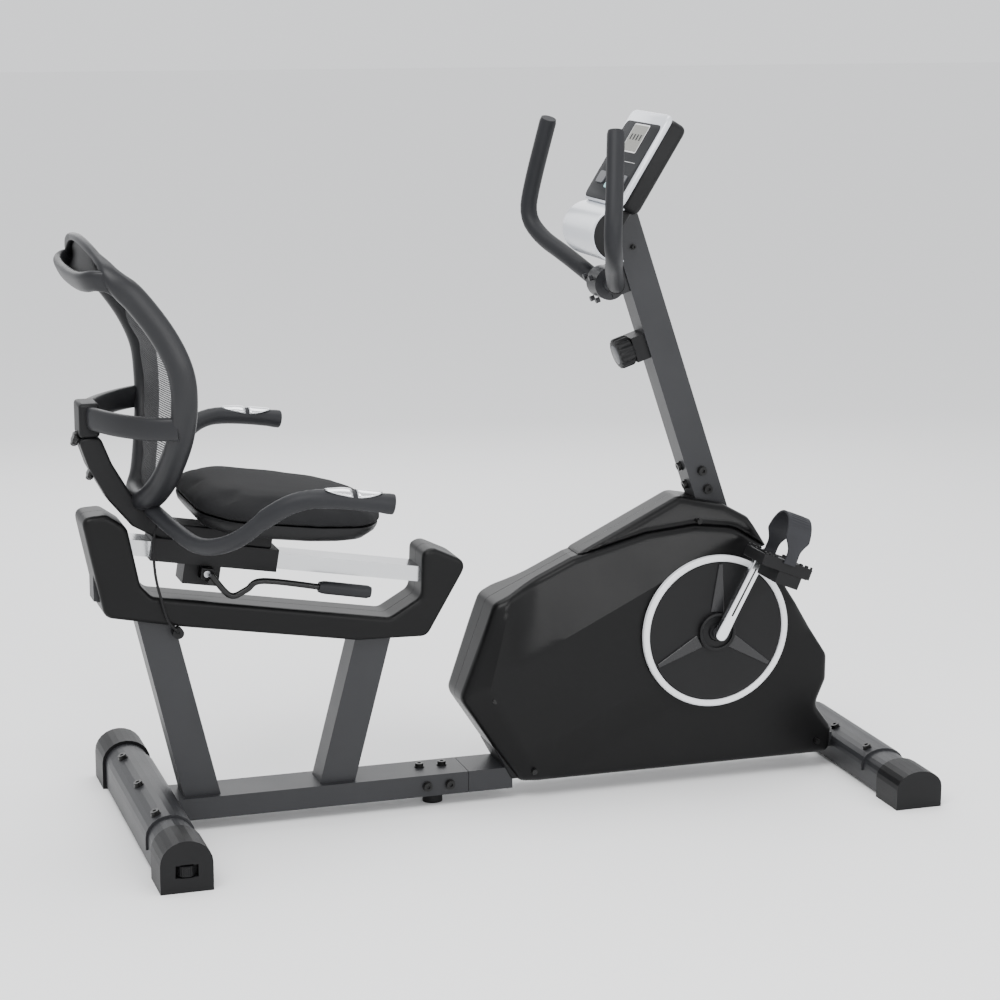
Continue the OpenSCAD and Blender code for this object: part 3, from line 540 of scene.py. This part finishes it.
def frame_at(origin, lean):
    """A design frame turned about Y: returns a function from its own x, y, z to the frame's metres."""
    c, s = math.cos(math.radians(lean)), math.sin(math.radians(lean))

    def place(x, y, z):
        return at(origin[0] + x * c + z * s, origin[1] + y, origin[2] - x * s + z * c)
    return place


RAIL_SLOPE = 9.3
MAST_LEAN = 18.9
FACE_LEAN = 31.5
PAD_SLOPE = 8
MAST_FOOT = (432, 0, 566)
PAD_MIDDLE = (-400, 0, 585.4)
on_slide = frame_at((-400, 0, 491), RAIL_SLOPE)
on_face = frame_at((268, 0, 1196), FACE_LEAN)
on_pad = frame_at(PAD_MIDDLE, PAD_SLOPE)


def boxes(name, pairs, look, body, edge, place, replaces=(), segments=2):
    """Bevelled blocks between pairs of corners of a design frame, as one piece."""
    verts, faces = [], []
    for low, high in pairs:
        n = len(verts)
        verts += [place(x, y, z) for x in (low[0], high[0]) for y in (low[1], high[1])
                  for z in (low[2], high[2])]
        faces += [tuple(n + k for k in f) for f in ((0, 1, 3, 2), (4, 6, 7, 5), (0, 4, 5, 1), (2, 3, 7, 6),
                                                    (0, 2, 6, 4), (1, 5, 7, 3))]
    return bevel(piece(name, verts, faces, look, body, 35, replaces), edge, segments, 40)


def box_piece(name, low, high, look, body, edge, place=at):
    return boxes(name, [(low, high)], look, body, edge, place, segments=3)


def ring_piece(name, profile, centre, axis, look, body, sides, replaces=()):
    """A turned ring: profile is a closed loop of (radius, height) pairs."""
    axis = Vector(axis).normalized()
    side = axis.cross(Vector((0.3, 0.9, 0.1))).normalized()
    other = axis.cross(side)
    n = len(profile)
    verts, faces = [], []
    for r, h in profile:
        for k in range(sides):
            w = 2 * math.pi * k / sides
            verts.append(turned(centre, side, other, axis * h, r, w))
    for i in range(n):
        for k in range(sides):
            q = (k + 1) % sides
            j = (i + 1) % n
            faces.append((i * sides + k, i * sides + q, j * sides + q, j * sides + k))
    return piece(name, [at(*v) for v in verts], faces, look, body, 30, replaces)


# ---------- drive casing ----------
RIDGE = ((126, 312), (388, 441))
LOW_RIDGE = ((105, 115), (301, 206))
CHAMFER = ((-16, 226), (19, 364))
LOW_CHAMFER = ((72, 62), (-16, 226))


def edge_roll(d, radius):
    """How far a rounded edge has fallen back at this distance from the outline."""
    return radius * (1 - math.sqrt(max(0, 1 - (1 - d / radius) ** 2))) if d < radius else 0


def casing_depth(x, z, d):
    """Half the width of the casing: a flat side cut by ridges and chamfers, with a rounded edge."""
    fade = smooth((x + 25) / 120)
    depth = 74.5 - 0.3 * max(0, side_of(*RIDGE, (x, z))) * fade
    depth -= min(13, 0.2 * max(0, -side_of(*LOW_RIDGE, (x, z)))) * fade
    depth -= 0.6 * max(0, side_of(*CHAMFER, (x, z)), side_of(*LOW_CHAMFER, (x, z)) * 0.8)
    return max(depth - edge_roll(d, 12), 20)


def crease_edges(obj, lines):
    """Marks the moulded ridges as sharp."""
    sharp = obj.data.attributes.get("sharp_edge") or obj.data.attributes.new("sharp_edge", "BOOLEAN", "EDGE")
    for edge in obj.data.edges:
        ends = [obj.data.vertices[i].co for i in edge.vertices]
        for a, b in lines:
            if all(abs(side_of(a, b, (v.x * 1000 - DESIGN_SHIFT, v.z * 1000))) < 0.6 for v in ends):
                sharp.data[edge.index].value = True


CREASES = (RIDGE, LOW_RIDGE, CHAMFER)
CASING = rounded([[-65, 205], [-1, 385], [158, 459], [300, 499], [395, 511], [470, 504], [531, 466], [583, 375],
                  [676, 235], [676, 185], [655, 135], [690, 88], [688, 36], [52, 36], [2, 105]],
                 [26, 26, 3, 60, 60, 60, 3, 26, 26, 26, 26, 20, 20, 20, 26])
TOP = rounded([[156, 458], [369, 563], [455, 545], [500, 520], [540, 458], [470, 502], [395, 509], [300, 497]],
              [3, 26, 26, 20, 3, 60, 60, 60])
for side, name in ((-1, "right"), (1, "left")):
    half = moulded_half(f"casing_{name}", CASING, casing_depth, "shroud", "root", side, 0.4,
                        (f"shroud_{name}",), creases=CREASES)
    crease_edges(half, CREASES)
    moulded_half(f"casing_top_{name}", TOP, lambda x, z, d: casing_depth(x, z, d) + 0.4, "shroud", "root", side,
                 0.0, ("shroud_top_cover",), step=9, rings=(1.5, 3.5, 6, 9, 13))

plate("rail_bracket", rounded([(2, 104), (18, 114), (66, 72), (62, 42), (36, 42)], 5), -48, 48, "plastic",
      "root", 3)
COVER = rounded([[-757, 597], [-712, 599], [-676, 574], [-655, 468], [-635, 446], [-199, 374], [-140, 408],
                 [-137, 492], [-118, 500], [-50, 468], [-129, 333], [-262, 336], [-577, 386], [-720, 414]], 22)


def cover_depth(x, z, d):
    """Half the width of the rail cover, which is the same all over but for its edge."""
    return 50 - edge_roll(d, 9)


for side, name in ((-1, "right"), (1, "left")):
    moulded_half(f"beam_cover_{name}", COVER, cover_depth, "grained", "root", side, 0.3,
                 (f"rail_cover_{name}",), step=12, rings=(1.2, 2.8, 5, 8, 12))

# ---------- crank, rings, discs ----------
AXLE = Vector((430, 308))
CRANK_ANGLE = math.radians(62)
CRANK_LENGTH = 170


def crank_right(x, y, z):
    """x runs along the crank, y stays, z across it."""
    c, s = math.cos(CRANK_ANGLE), math.sin(CRANK_ANGLE)
    return at(AXLE.x + x * c - z * s, y, AXLE.y + x * s + z * c)


def crank_left(x, y, z):
    """The same, half a turn on and on the other side."""
    c, s = math.cos(CRANK_ANGLE), math.sin(CRANK_ANGLE)
    return at(AXLE.x - x * c + z * s, -y, AXLE.y - x * s - z * c)


for side, name, place in ((-1, "right", crank_right), (1, "left", crank_left)):
    out = (0, side, 0)
    centre = (AXLE.x, 0, AXLE.y)
    ring_piece(f"ring_{name}", [(135.3, 77.5), (135.3, 86), (137.5, 88), (144.5, 88), (147, 85.5), (147, 77.5)],
               centre, out, "ring", "crank", 96, ("crank_rings",))
    ring_piece(f"disc_{name}", [(10.5, 77.5), (10.5, 94), (16, 94), (18, 90), (31, 90), (33, 93), (36, 93),
                                (36.5, 84), (60, 82.5), (128, 83), (133, 84.5), (135, 83), (135, 77.5)],
               centre, out, "plastic", "crank", 96, (f"crank_disc_{name}",))
    ring_piece(f"hub_ring_{name}", [(30.5, 90), (30.5, 94.3), (33, 95.2), (36.6, 94), (36.6, 90)], centre, out,
               "plastic", "crank", 64)
    for turn in (87, 207, 327):
        a = math.radians(turn)
        wedge = []
        for r, spread in ((39, -0.36), (131, -0.03), (131, 0.03), (39, 0.36)):
            wedge.append((AXLE.x + r * math.cos(a + spread), AXLE.y + r * math.sin(a + spread)))
        plate(f"spoke_{name}_{turn}", rounded(wedge, 2), side * 82, side * 86, "spoke", "crank", 1.5,
              place=at if side < 0 else (lambda x, y, z: at(2 * AXLE.x - x, y, 2 * AXLE.y - z)))
    arm = [(-12, 0), (-9, 8), (0, 11.5), (34, 10.5), (90, 10), (150, 10), (163, 12), (178, 9), (184, 0)]
    arm = catmull([(a, b, 0) for a, b in arm + [(a, -b) for a, b in reversed(arm[1:-1])]], 5, True)
    plate(f"crank_arm_{name}_bar", [tuple(p[:2]) for p in arm], -115.5, -100.5, "crank", "crank", 2.4,
          (f"crank_arm_{name}",), place, 4)
    # A black strip standing 0.4 mm proud of the crank arm's face: painted shade where a groove along the arm would
    # lie in shadow.
    painted_groove_shade = rounded([(40, -1.9), (40, 1.9), (140, 1.6), (140, -1.6)], 1.6)
    plate(f"crank_painted_groove_shade_{name}", painted_groove_shade, -115.9, -113, "bolt", "crank", 0.3, place=place)
    end = Vector(centre) + Vector((math.cos(CRANK_ANGLE), 0, math.sin(CRANK_ANGLE))) * CRANK_LENGTH * -side
    lathe(f"pedal_spindle_{name}", [(0.01, 0), (6, 0), (6, 100), (0.01, 100)], (end.x, side * 114, end.z), out,
          "steel", "crank", 24)

# ---------- pedals and straps ----------
PEDAL_AT = {"right": (509.8, 458.1, -1), "left": (350.2, 157.9, 1)}
TILT = math.radians(22)


def pedal_place(name):
    px, pz, side = PEDAL_AT[name]

    def place(x, y, z):
        c, s = math.cos(TILT), math.sin(TILT)
        return at(px + x * c + z * s, side * (180 - y), pz - x * s + z * c)
    return place


for name in ("right", "left"):
    place = pedal_place(name)
    body = f"{name}_pedal"
    parts = [((-52, -42, -10), (-45, 42, 10)), ((45, -42, -10), (52, 42, 10)),
             ((-47, -42, -11), (47, -30, 11)), ((-47, 30, -11), (47, 42, 11)),
             ((-20, -32, -10), (-12, 32, 9)), ((12, -32, -10), (20, 32, 9)),
             ((-13, -32, 6.5), (13, 32, 9.5)), ((-13, -32, -11), (13, 32, -7)),
             ((-12, -40, -34), (38, 40, -10)), ((-45, -3, -9), (45, 3, -6.5))]
    for x in (-51, -39, -27, 27, 39, 51):
        for y in (-38, 38):
            parts.append(((x - 3 if x > -50 else x, y - 3.5, 9), (x + 3 if x < 50 else x, y + 3.5, 15)))
    boxes(f"pedal_body_{name}", parts, "plastic", body, 1.4, place, (f"pedal_{name}",))
    line = [(-44.5, 6), (-45, 22)] + [(40.5 * math.cos(math.radians(a)), 42 + 52 * math.sin(math.radians(a)))
                                      for a in range(170, 5, -10)] + [(45, 22), (44.5, 6)]
    curve = catmull([(0, y, z) for y, z in line], 5)
    verts, faces = [], []
    n = len(curve)
    for i, p in enumerate(curve):
        t = (curve[min(i + 1, n - 1)] - curve[max(i - 1, 0)]).normalized()
        outward = Vector((0, -t.z, t.y))
        share = i / (n - 1)
        wide = lerp(12, 25, smooth((min(share, 1 - share) - 0.06) / 0.05))
        rib = 0.8 if (i % 4) < 2 and 0.24 < share < 0.76 else 0.0
        for across in (-1, -0.72, -0.6, 0.6, 0.72, 1):
            for thick in (0, 1):
                lift = 1.5 + (rib if abs(across) < 0.65 else 0.4) if thick else -1.5
                verts.append(p + Vector((across * wide, 0, 0)) + outward * lift)
    for i in range(n - 1):
        a, b = i * 12, (i + 1) * 12
        for k in range(5):
            faces.append((a + 2 * k + 1, a + 2 * k + 3, b + 2 * k + 3, b + 2 * k + 1))
            faces.append((a + 2 * k, b + 2 * k, b + 2 * k + 2, a + 2 * k + 2))
        faces.append((a, a + 1, b + 1, b))
        faces.append((a + 10, b + 10, b + 11, a + 11))
    for base in (0, (n - 1) * 12):
        for k in range(5):
            faces.append((base + 2 * k, base + 2 * k + 2, base + 2 * k + 3, base + 2 * k + 1))
    piece(f"strap_band_{name}", [place(*v) for v in verts], faces, "rubber", body, 30, (f"strap_{name}",))

# ---------- back ----------
BACK_SIDE = [(-640, 40, 622), (-625, 78, 648), (-612, 118, 690), (-600, 158, 750), (-596, 180, 810),
             (-602, 184, 868), (-628, 178, 928), (-672, 172, 990), (-708, 169, 1026), (-722, 152, 1049),
             (-734, 98, 1069), (-739, 34, 1078)]
half = [Vector(p) for p in BACK_SIDE]


def rim_section(share):
    """The rim is full along the sides and thin across the top."""
    full = min(max((min(share, 1 - share) - 0.06) / 0.09, 0), 1)
    return lerp(7, 19, full), lerp(8, 22.5, full)


loop = catmull([(x, -y, z) for x, y, z in reversed(half)] + half, 7, True)
tube("back_rim", loop, rim_section, "back", "seat", 20, (1, 0, 0.01), True, ("back_frame",), 2.7)
arch = soften([[-606, 178, 770], [-650, 158, 768], [-700, 100, 768], [-730, 40, 770]], 2)
arch_line = resample(arch + [Vector((p.x, -p.y, p.z)) for p in reversed(arch)], 14)
tube("back_arch", arch_line, (10, 20), "back", "seat", 20, (0, 0, 1), power=3.5)
cross = [(-676, 171, 993), (-710, 169, 1020), (-737, 160, 1025), (-751, 132, 1020), (-756, 78, 1017)]
cross = catmull(cross + [(-757, 0, 1016)] + [(x, -y, z) for x, y, z in reversed(cross)], 8)
tube("head_rim", cross, (9, 18), "back", "seat", 20, (-0.5, 0, 1), power=3)
PANEL_HALF = 154
cols, rows = 16, 8
verts = []
for j in range(rows + 1):
    for i in range(cols + 1):
        y = lerp(-PANEL_HALF, PANEL_HALF, i / cols)
        t = j / rows
        crown = 1046 + 30 * (1 - (y / 160) ** 2)
        back = lerp(-749, -735, (y / PANEL_HALF) ** 2)
        x = lerp(back, -736, t) + 8 * math.sin(math.pi * t)
        verts.append(at(x, y * (1 - 0.02 * t), lerp(1014, crown, t)))
wall(piece("head_panel", verts, grid_faces(cols, rows), "plastic", "seat", 60), 4, -1)


def along_back(z, axis, ease):
    """Where the side of the back is at this height: axis 0 is how far forward, axis 1 how far out."""
    for a, b in zip(half, half[1:]):
        if a.z <= z <= b.z:
            return lerp(a[axis], b[axis], ease((z - a.z) / (b.z - a.z)))


NET_LOW, NET_HIGH = 634, 984
cols, rows = 44, 60
verts = []
for j in range(rows + 1):
    z = lerp(NET_LOW, NET_HIGH, j / rows)
    w = along_back(z, 1, clamp01) - 4
    for i in range(cols + 1):
        u = lerp(-1, 1, i / cols)
        hollow = 20 * (1 - u * u) * math.sin(math.pi * clamp01((z - NET_LOW) / (NET_HIGH - NET_LOW))) ** 0.6
        verts.append(at(along_back(z, 0, smooth) - 4 - hollow, u * w, z))
knit = piece("back_knit", verts, grid_faces(cols, rows), "cloth", "seat", 80, ("back_mesh",))
SPINE = rounded([[-755, 734.5], [-737, 680], [-704, 620], [-664, 572], [-610, 542], [-560, 536], [-560, 560],
                 [-615, 572], [-664, 630], [-696, 686], [-715, 734.5]], 14)
plate("spine_plate", SPINE, -28, 28, "plastic", "seat", 5, ("back_spine",), segments=4)
box_piece("spine_hub", (-752, -32, 735), (-716, 32, 795), "plastic", "seat", 6)
for k, (x, z) in enumerate(((-743, 726), (-718, 664))):
    lean = math.radians(-72)
    lathe(f"star_knob_{k}", [(0.01, 0), (7, 0), (7, 7), (12, 8), (13, 14), (11, 18), (0.01, 18.5)], (x, 0, z),
          (math.sin(lean), 0, math.cos(lean)), "bolt", "seat", 60,
          lobes=lambda r, h, w: r * (1 + 0.16 * math.cos(6 * w)) if r > 7.5 else r)

# ---------- seat ----------
def pad_outline(k):
    """The seat's plan outline, scaled."""
    base = [[-170, -120], [-120, -190], [40, -180], [140, -145], [186, -60], [186, 60], [140, 145], [40, 180],
            [-120, 190], [-170, 120]]
    return rounded([[x * k, y * k] for x, y in base], 110 * k, 10)


def layered(name, levels, look, flat_angle, replaces=()):
    """A stack of the seat's plan outlines: levels are (scale, height) pairs from the bottom up."""
    verts, faces = [], []
    n = len(pad_outline(1))
    for k, z in levels:
        verts += [on_pad(p[0], p[1], z) for p in pad_outline(k)]
    for j in range(len(levels) - 1):
        for i in range(n):
            q = (i + 1) % n
            faces.append((j * n + i, j * n + q, (j + 1) * n + q, (j + 1) * n + i))
    faces.append(tuple(reversed(range(n))))
    faces.append(tuple(range((len(levels) - 1) * n, len(levels) * n)))
    return piece(name, verts, faces, look, "seat", flat_angle, replaces)


layered("seat_shell", [(0.6, -33), (0.78, -31), (0.88, -25), (0.945, -14), (0.965, -5), (0.965, -0.5)],
        "plastic", 50, ("seat_base",))
box_piece("seat_riser", (-200, -34, 22), (-20, 34, 50), "plastic", "seat", 3, on_slide)
cushion = layered("seat_cushion", [(0.93, 1.2), (0.985, 2.5), (1.0, 8), (0.995, 16), (0.965, 24), (0.9, 31),
                                   (0.76, 37), (0.56, 41), (0.3, 43), (0.08, 43.5)], "vinyl", 60)

SWELL = 0.005
SIM_FRAMES = 20


def inflate(obj):
    """Remeshes the cushion evenly and lets its cover swell, by at most SWELL metres."""
    bpy.ops.object.select_all(action="DESELECT")
    obj.select_set(True)
    bpy.context.view_layer.objects.active = obj
    remesh = obj.modifiers.new("even", "REMESH")
    remesh.mode = "VOXEL"
    remesh.voxel_size = 0.0055
    bpy.ops.object.modifier_apply(modifier="even")
    before = [v.co.copy() for v in obj.data.vertices]
    hold = obj.vertex_groups.new(name="hold")
    base = at(*PAD_MIDDLE)
    slope = math.radians(PAD_SLOPE)
    for v in obj.data.vertices:
        over = (v.co.x - base.x) * math.sin(slope) + (v.co.z - base.z) * math.cos(slope)
        if over < 0.005:
            hold.add([v.index], 1.0, "REPLACE")
    sim = obj.modifiers.new("cover", "CLOTH")
    sim.settings.use_pressure = True
    sim.settings.uniform_pressure_force = 4
    sim.settings.mass = 0.15
    sim.settings.tension_stiffness = 8
    sim.settings.compression_stiffness = 8
    sim.settings.bending_stiffness = 4
    sim.settings.vertex_group_mass = "hold"
    sim.settings.effector_weights.gravity = 0
    sim.point_cache.frame_start = 1
    sim.point_cache.frame_end = SIM_FRAMES
    for step in range(1, SIM_FRAMES + 1):
        bpy.context.scene.frame_set(step)
    bpy.ops.object.modifier_apply(modifier="cover")
    bpy.context.scene.frame_set(1)
    for v, was in zip(obj.data.vertices, before):
        moved = v.co - was
        if moved.length > SWELL:
            v.co = was + moved.normalized() * SWELL
    even = obj.modifiers.new("settle", "SMOOTH")
    even.factor = 0.5
    even.iterations = 10
    bpy.ops.object.modifier_apply(modifier="settle")
    fine = obj.modifiers.new("fine", "SUBSURF")
    fine.levels = 1
    fine.render_levels = 1
    bpy.ops.object.modifier_apply(modifier="fine")
    for face in obj.data.polygons:
        face.use_smooth = True


inflate(cushion)
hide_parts("seat_pad")

ARM = [[-632, 44, 604], [-606, 150, 582], [-584, 245, 574], [-540, 320, 600], [-500, 370, 652],
       [-450, 396, 684], [-380, 404, 682], [-294, 410, 668]]
arm_line = resample(soften(ARM, 3), 12)


def arm_girth(share):
    """The arm bar's radius: a thicker sleeve at the grip, with a collar at its end."""
    return lerp(14.5, 16.4, smooth((share - 0.60) / 0.02)) * (1.06 if share > 0.96 else 1)


for side, name in ((1, "left"), (-1, "right")):
    line = [Vector((p.x, side * p.y, p.z)) for p in arm_line]
    sleeve = tube(f"arm_{name}", line, arm_girth, "foam", "seat", 28, (1, 0, 0.2), replaces=("arm_bars",))
    bevel(sleeve, 2.5, 3, 60)
    for k, (x0, x1) in enumerate(((-410, -366), (-358, -314))):
        verts = []
        for i in range(9):
            x = lerp(x0, x1, i / 8)
            z = lerp(683.5, 671.5, (x + 380) / 86 if x > -380 else 0)
            y = lerp(403.5, 409, clamp01((x + 380) / 86))
            spread = 74 * math.sin(math.pi * clamp01((x + 414) / 104)) ** 0.55
            for j in range(13):
                a = math.radians(90 + lerp(-spread, spread, j / 12))
                r = 17.4 - (0.6 if i in (0, 8) or j in (0, 12) else 0)
                verts.append(at(x, side * (y + r * math.cos(a)), z + r * math.sin(a)))
        wall(piece(f"pulse_plate_{name}_{k}", verts, grid_faces(12, 8), "crank", "seat", 50, ("pulse_plates",)), 1.2, -1)

# ---------- lever and cable ----------
lever_line = resample(catmull([[-533, -66, 484], [-500, -66, 444], [-470, -66, 452], [-440, -66, 466],
                               [-330, -66, 446]], 10), 6)
tube("lever_rod", lever_line, 5.6, "bolt", "lever", 16, (0, 1, 0), replaces=("seat_lever",))
tube("lever_grip", resample([(-338, -66, 447.5), (-240, -66, 430)], 7),
     lambda s: (12 * (0.8 + 0.2 * smooth(s / 0.1)) * (1 if s < 0.93 else 0.8), 10 * (1 if s < 0.93 else 0.75)),
     "foam", "lever", 24, (0, 1, 0))
box_piece("lever_link", (-146, -57, -40), (-124, -34, -20), "steel", "seat", 2, on_slide)
tube("lever_pin", [(-533, -66, 470), (-533, -30, 470)], 6, "bolt", "lever", 20, (0, 0, 1))

CABLE = [[-622, -58, 583], [-630, -62, 570], [-634, -64, 548], [-634, -64, 520], [-632, -62, 494],
         [-628, -60, 470], [-622, -58, 446], [-616, -56, 422], [-608, -55, 400], [-597, -54, 386], [-590, -48, 377]]
cable_line = resample(catmull(CABLE, 8), 5)
verts, faces = tube_mesh(cable_line, 2.5, 12, (0, 1, 0))
route = [at(*p) for p in cable_line]
mesh = bpy.data.meshes.new("pulse_lead")
mesh.from_pydata([tuple(at(*v)) for v in verts], [], faces)
lead = add_object("pulse_lead", mesh)
mesh.materials.append(MAT["plastic"])
for face in mesh.polygons:
    face.use_smooth = True
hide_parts("pulse_cable")
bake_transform(lead)

# ---------- handlebar, clamp, mast ----------
BAR = [[230, 52, 968], [195, 130, 1008], [172, 196, 1032], [154, 232, 1070], [160, 222, 1130], [178, 178, 1258]]
bar_line = resample(soften(BAR, 3), 12)
for side, name in ((1, "left"), (-1, "right")):
    line = [Vector((p.x, side * p.y, p.z)) for p in bar_line]
    tube(f"bar_{name}", line, lambda s: 16 if 0.004 < s < 0.996 else 14.4, "foam", "handlebar_unit", 28,
         (1, 0, 0), replaces=("handlebar",))
    lathe(f"bar_collar_{name}", [(0.01, 0), (15.4, 0), (16.2, 2), (16.2, 10), (15, 12), (0.01, 12)],
          (230, side * 46, 968), (0, side, 0), "plastic", "handlebar_unit", 40)
lathe("bar_middle", [(0.01, 0), (13, 0), (13, 108), (0.01, 108)], (230, -54, 968), (0, 1, 0), "steel",
      "handlebar_unit", 40)


def knob_lobes(r, h, w):
    """Shallow ribs round the knob's outer wall."""
    return r * (1 + 0.035 * math.cos(16 * w)) if 24 < r else r


lean = math.radians(-MAST_LEAN)
mast_axis = Vector((math.cos(lean), 0, -math.sin(lean)))
mast_up = Vector((math.sin(lean), 0, math.cos(lean)))
knob_base = Vector(MAST_FOOT) + mast_up * 310 - mast_axis * 54.5
lathe("knob_body", [(0.01, 0), (25, 0), (27, 2), (28.5, 5), (28.5, 25), (27, 28.5), (24, 30), (20, 30.5),
                    (19.5, 29), (0.01, 29)], knob_base, -mast_axis, "plastic", "knob", 160,
      ("tension_knob",), lobes=knob_lobes)
lathe("knob_disc", [(0.01, 0), (19, 0), (19, 1.6), (17.5, 2.4), (0.01, 2.4)], knob_base - mast_axis * 29,
      -mast_axis, "knob_face", "knob", 64)

# ---------- console ----------
def oblong(y, z, w, h):
    """Corners of a rectangle about a point of the console's face."""
    return [(y - w, z - h), (y + w, z - h), (y + w, z + h), (y - w, z + h)]


def face_outline(width, low, high, r, bulge):
    """A rounded console outline whose sides bow out by bulge; width is half the whole."""
    middle, reach = (low + high) / 2, (high - low) / 2
    return [(y + math.copysign(bulge, y) * (1 - ((z - middle) / reach) ** 2), z)
            for y, z in rounded([(-width, low), (width, low), (width, high), (-width, high)], r, 6)]


def face_points(outline, x0, x1):
    return [on_face(x, p[0], p[1]) for x in (x0, x1) for p in outline]


def face_plate(name, outline, x0, x1, look, edge, replaces=(), body="root"):
    """A plate that lies along the console's face, between two depths."""
    obj = piece(name, face_points(outline, x0, x1), prism_faces(len(outline)), look, body, 35, replaces)
    return bevel(obj, edge, 3, 50) if edge else obj


def pocket(target, outline, x0, x1):
    """Cuts the pocket a key travels in."""
    mesh = bpy.data.meshes.new("pocket")
    mesh.from_pydata([tuple(p) for p in face_points(outline, x0, x1)], [], prism_faces(len(outline)))
    clean = bmesh.new()
    clean.from_mesh(mesh)
    bmesh.ops.recalc_face_normals(clean, faces=clean.faces)
    clean.to_mesh(mesh)
    clean.free()
    cutter = add_object("pocket", mesh)
    cut = target.modifiers.new("pocket", "BOOLEAN")
    cut.object = cutter
    cut.solver = "EXACT"
    bpy.context.view_layer.objects.active = target
    for name in [m.name for m in target.modifiers]:
        bpy.ops.object.modifier_apply(modifier=name)
    bpy.data.objects.remove(cutter)
    target.data.set_sharp_from_angle(angle=math.radians(35))


console_face = face_plate("console_face", face_outline(92, -95, 95, 18, 3), -4, 8, "silver", 4,
                          ("console_panel",))
face_plate("console_case", face_outline(88, -92, 92, 16, 6), 6, 42, "plastic", 9, ("console_housing",))
sheet = face_plate("console_sheet", face_outline(86, -91, 71, 14, 3), -4.7, -3, "overlay", 0.4)
face_plate("console_window", rounded(oblong(0, 38, 37, 29), 4, 4), -5.0, -3.6, "white_line", 0.2)
face_plate("console_lcd", rounded(oblong(0, 38, 34.5, 26.5), 2, 4), -5.3, -3.6, "lcd", 0.1, ("console_screen",))
face_plate("console_rule", oblong(0, -9.6, 62, 0.4), -4.9, -4.2, "white_line", 0)
for y, z, w, look, key in ((50, -48, 18, "grey_key", "left"), (0, -55, 16, "cyan_key", "centre"),
                           (-50, -48, 18, "grey_key", "right")):
    gap = rounded(oblong(y, z, w + 0.5, 12.5), 6.5, 4)
    pocket(console_face, gap, -9, 1.6)
    pocket(sheet, gap, -9, 1.6)
    face_plate(f"key_cap_{key}", rounded(oblong(y, z, w, 12), 6, 4), -6.8, -1.0, look, 0.8,
               (f"button_{key}",), f"key_{key}")
for k in range(4):
    face_plate(f"lcd_mark_{k}", oblong(lerp(-22, 22, k / 3), 40, 3, 6), -5.45, -5.0, "overlay", 0)

ROLL = (222, 1063)


def roll_arc(radius, start, end, steps):
    """Points of an arc about the middle of the console's front roll, between two angles."""
    angles = [math.radians(lerp(start, end, k / steps)) for k in range(steps + 1)]
    return [(ROLL[0] + radius * math.cos(a), ROLL[1] + radius * math.sin(a)) for a in angles]


box_piece("console_neck", (10, -62, -150), (40, 62, -70), "plastic", "root", 8, on_face)
plate("console_roll", roll_arc(50, 75, 285, 24) + roll_arc(46, 285, 75, 24), -80, 80, "silver", "root", 1.6)
for side in (-1, 1):
    plate(f"roll_end_{side}", roll_arc(46.5, 80, 280, 20), side * 72, side * 78, "plastic", "root", 1.5)

# ---------- finishes of the remaining design pieces ----------
FINISH = {
    "paint": ["rear_frame", "front_frame", "rear_stabiliser", "front_stabiliser", "mast"],
    "plastic": ["rear_cap_left", "rear_cap_right", "front_cap_left", "front_cap_right", "centre_foot",
                "knob_housing", "cable_socket", "carriage", "transport_wheel_left", "transport_wheel_right", "level_wheel_left",
                "level_wheel_right"],
    "bolt": ["frame_bolts", "panel_screws"],
    "back": ["clamp_base", "clamp_cap"],
    "aluminium": ["seat_rail"],
    "rubber": ["drive_belt"],
    "iron": ["flywheel"],
    "steel": ["crank_bearings", "flywheel_axle", "crank_axle", "drive_pulley", "magnet_bracket"],
}
for look, names in FINISH.items():
    for name in names:
        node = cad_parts[name]
        node.data.materials.clear()
        node.data.materials.append(MAT[look])
        for face in node.data.polygons:
            face.use_smooth = True
        node.data.set_sharp_from_angle(angle=math.radians(30))

set_camera()
make_stage()
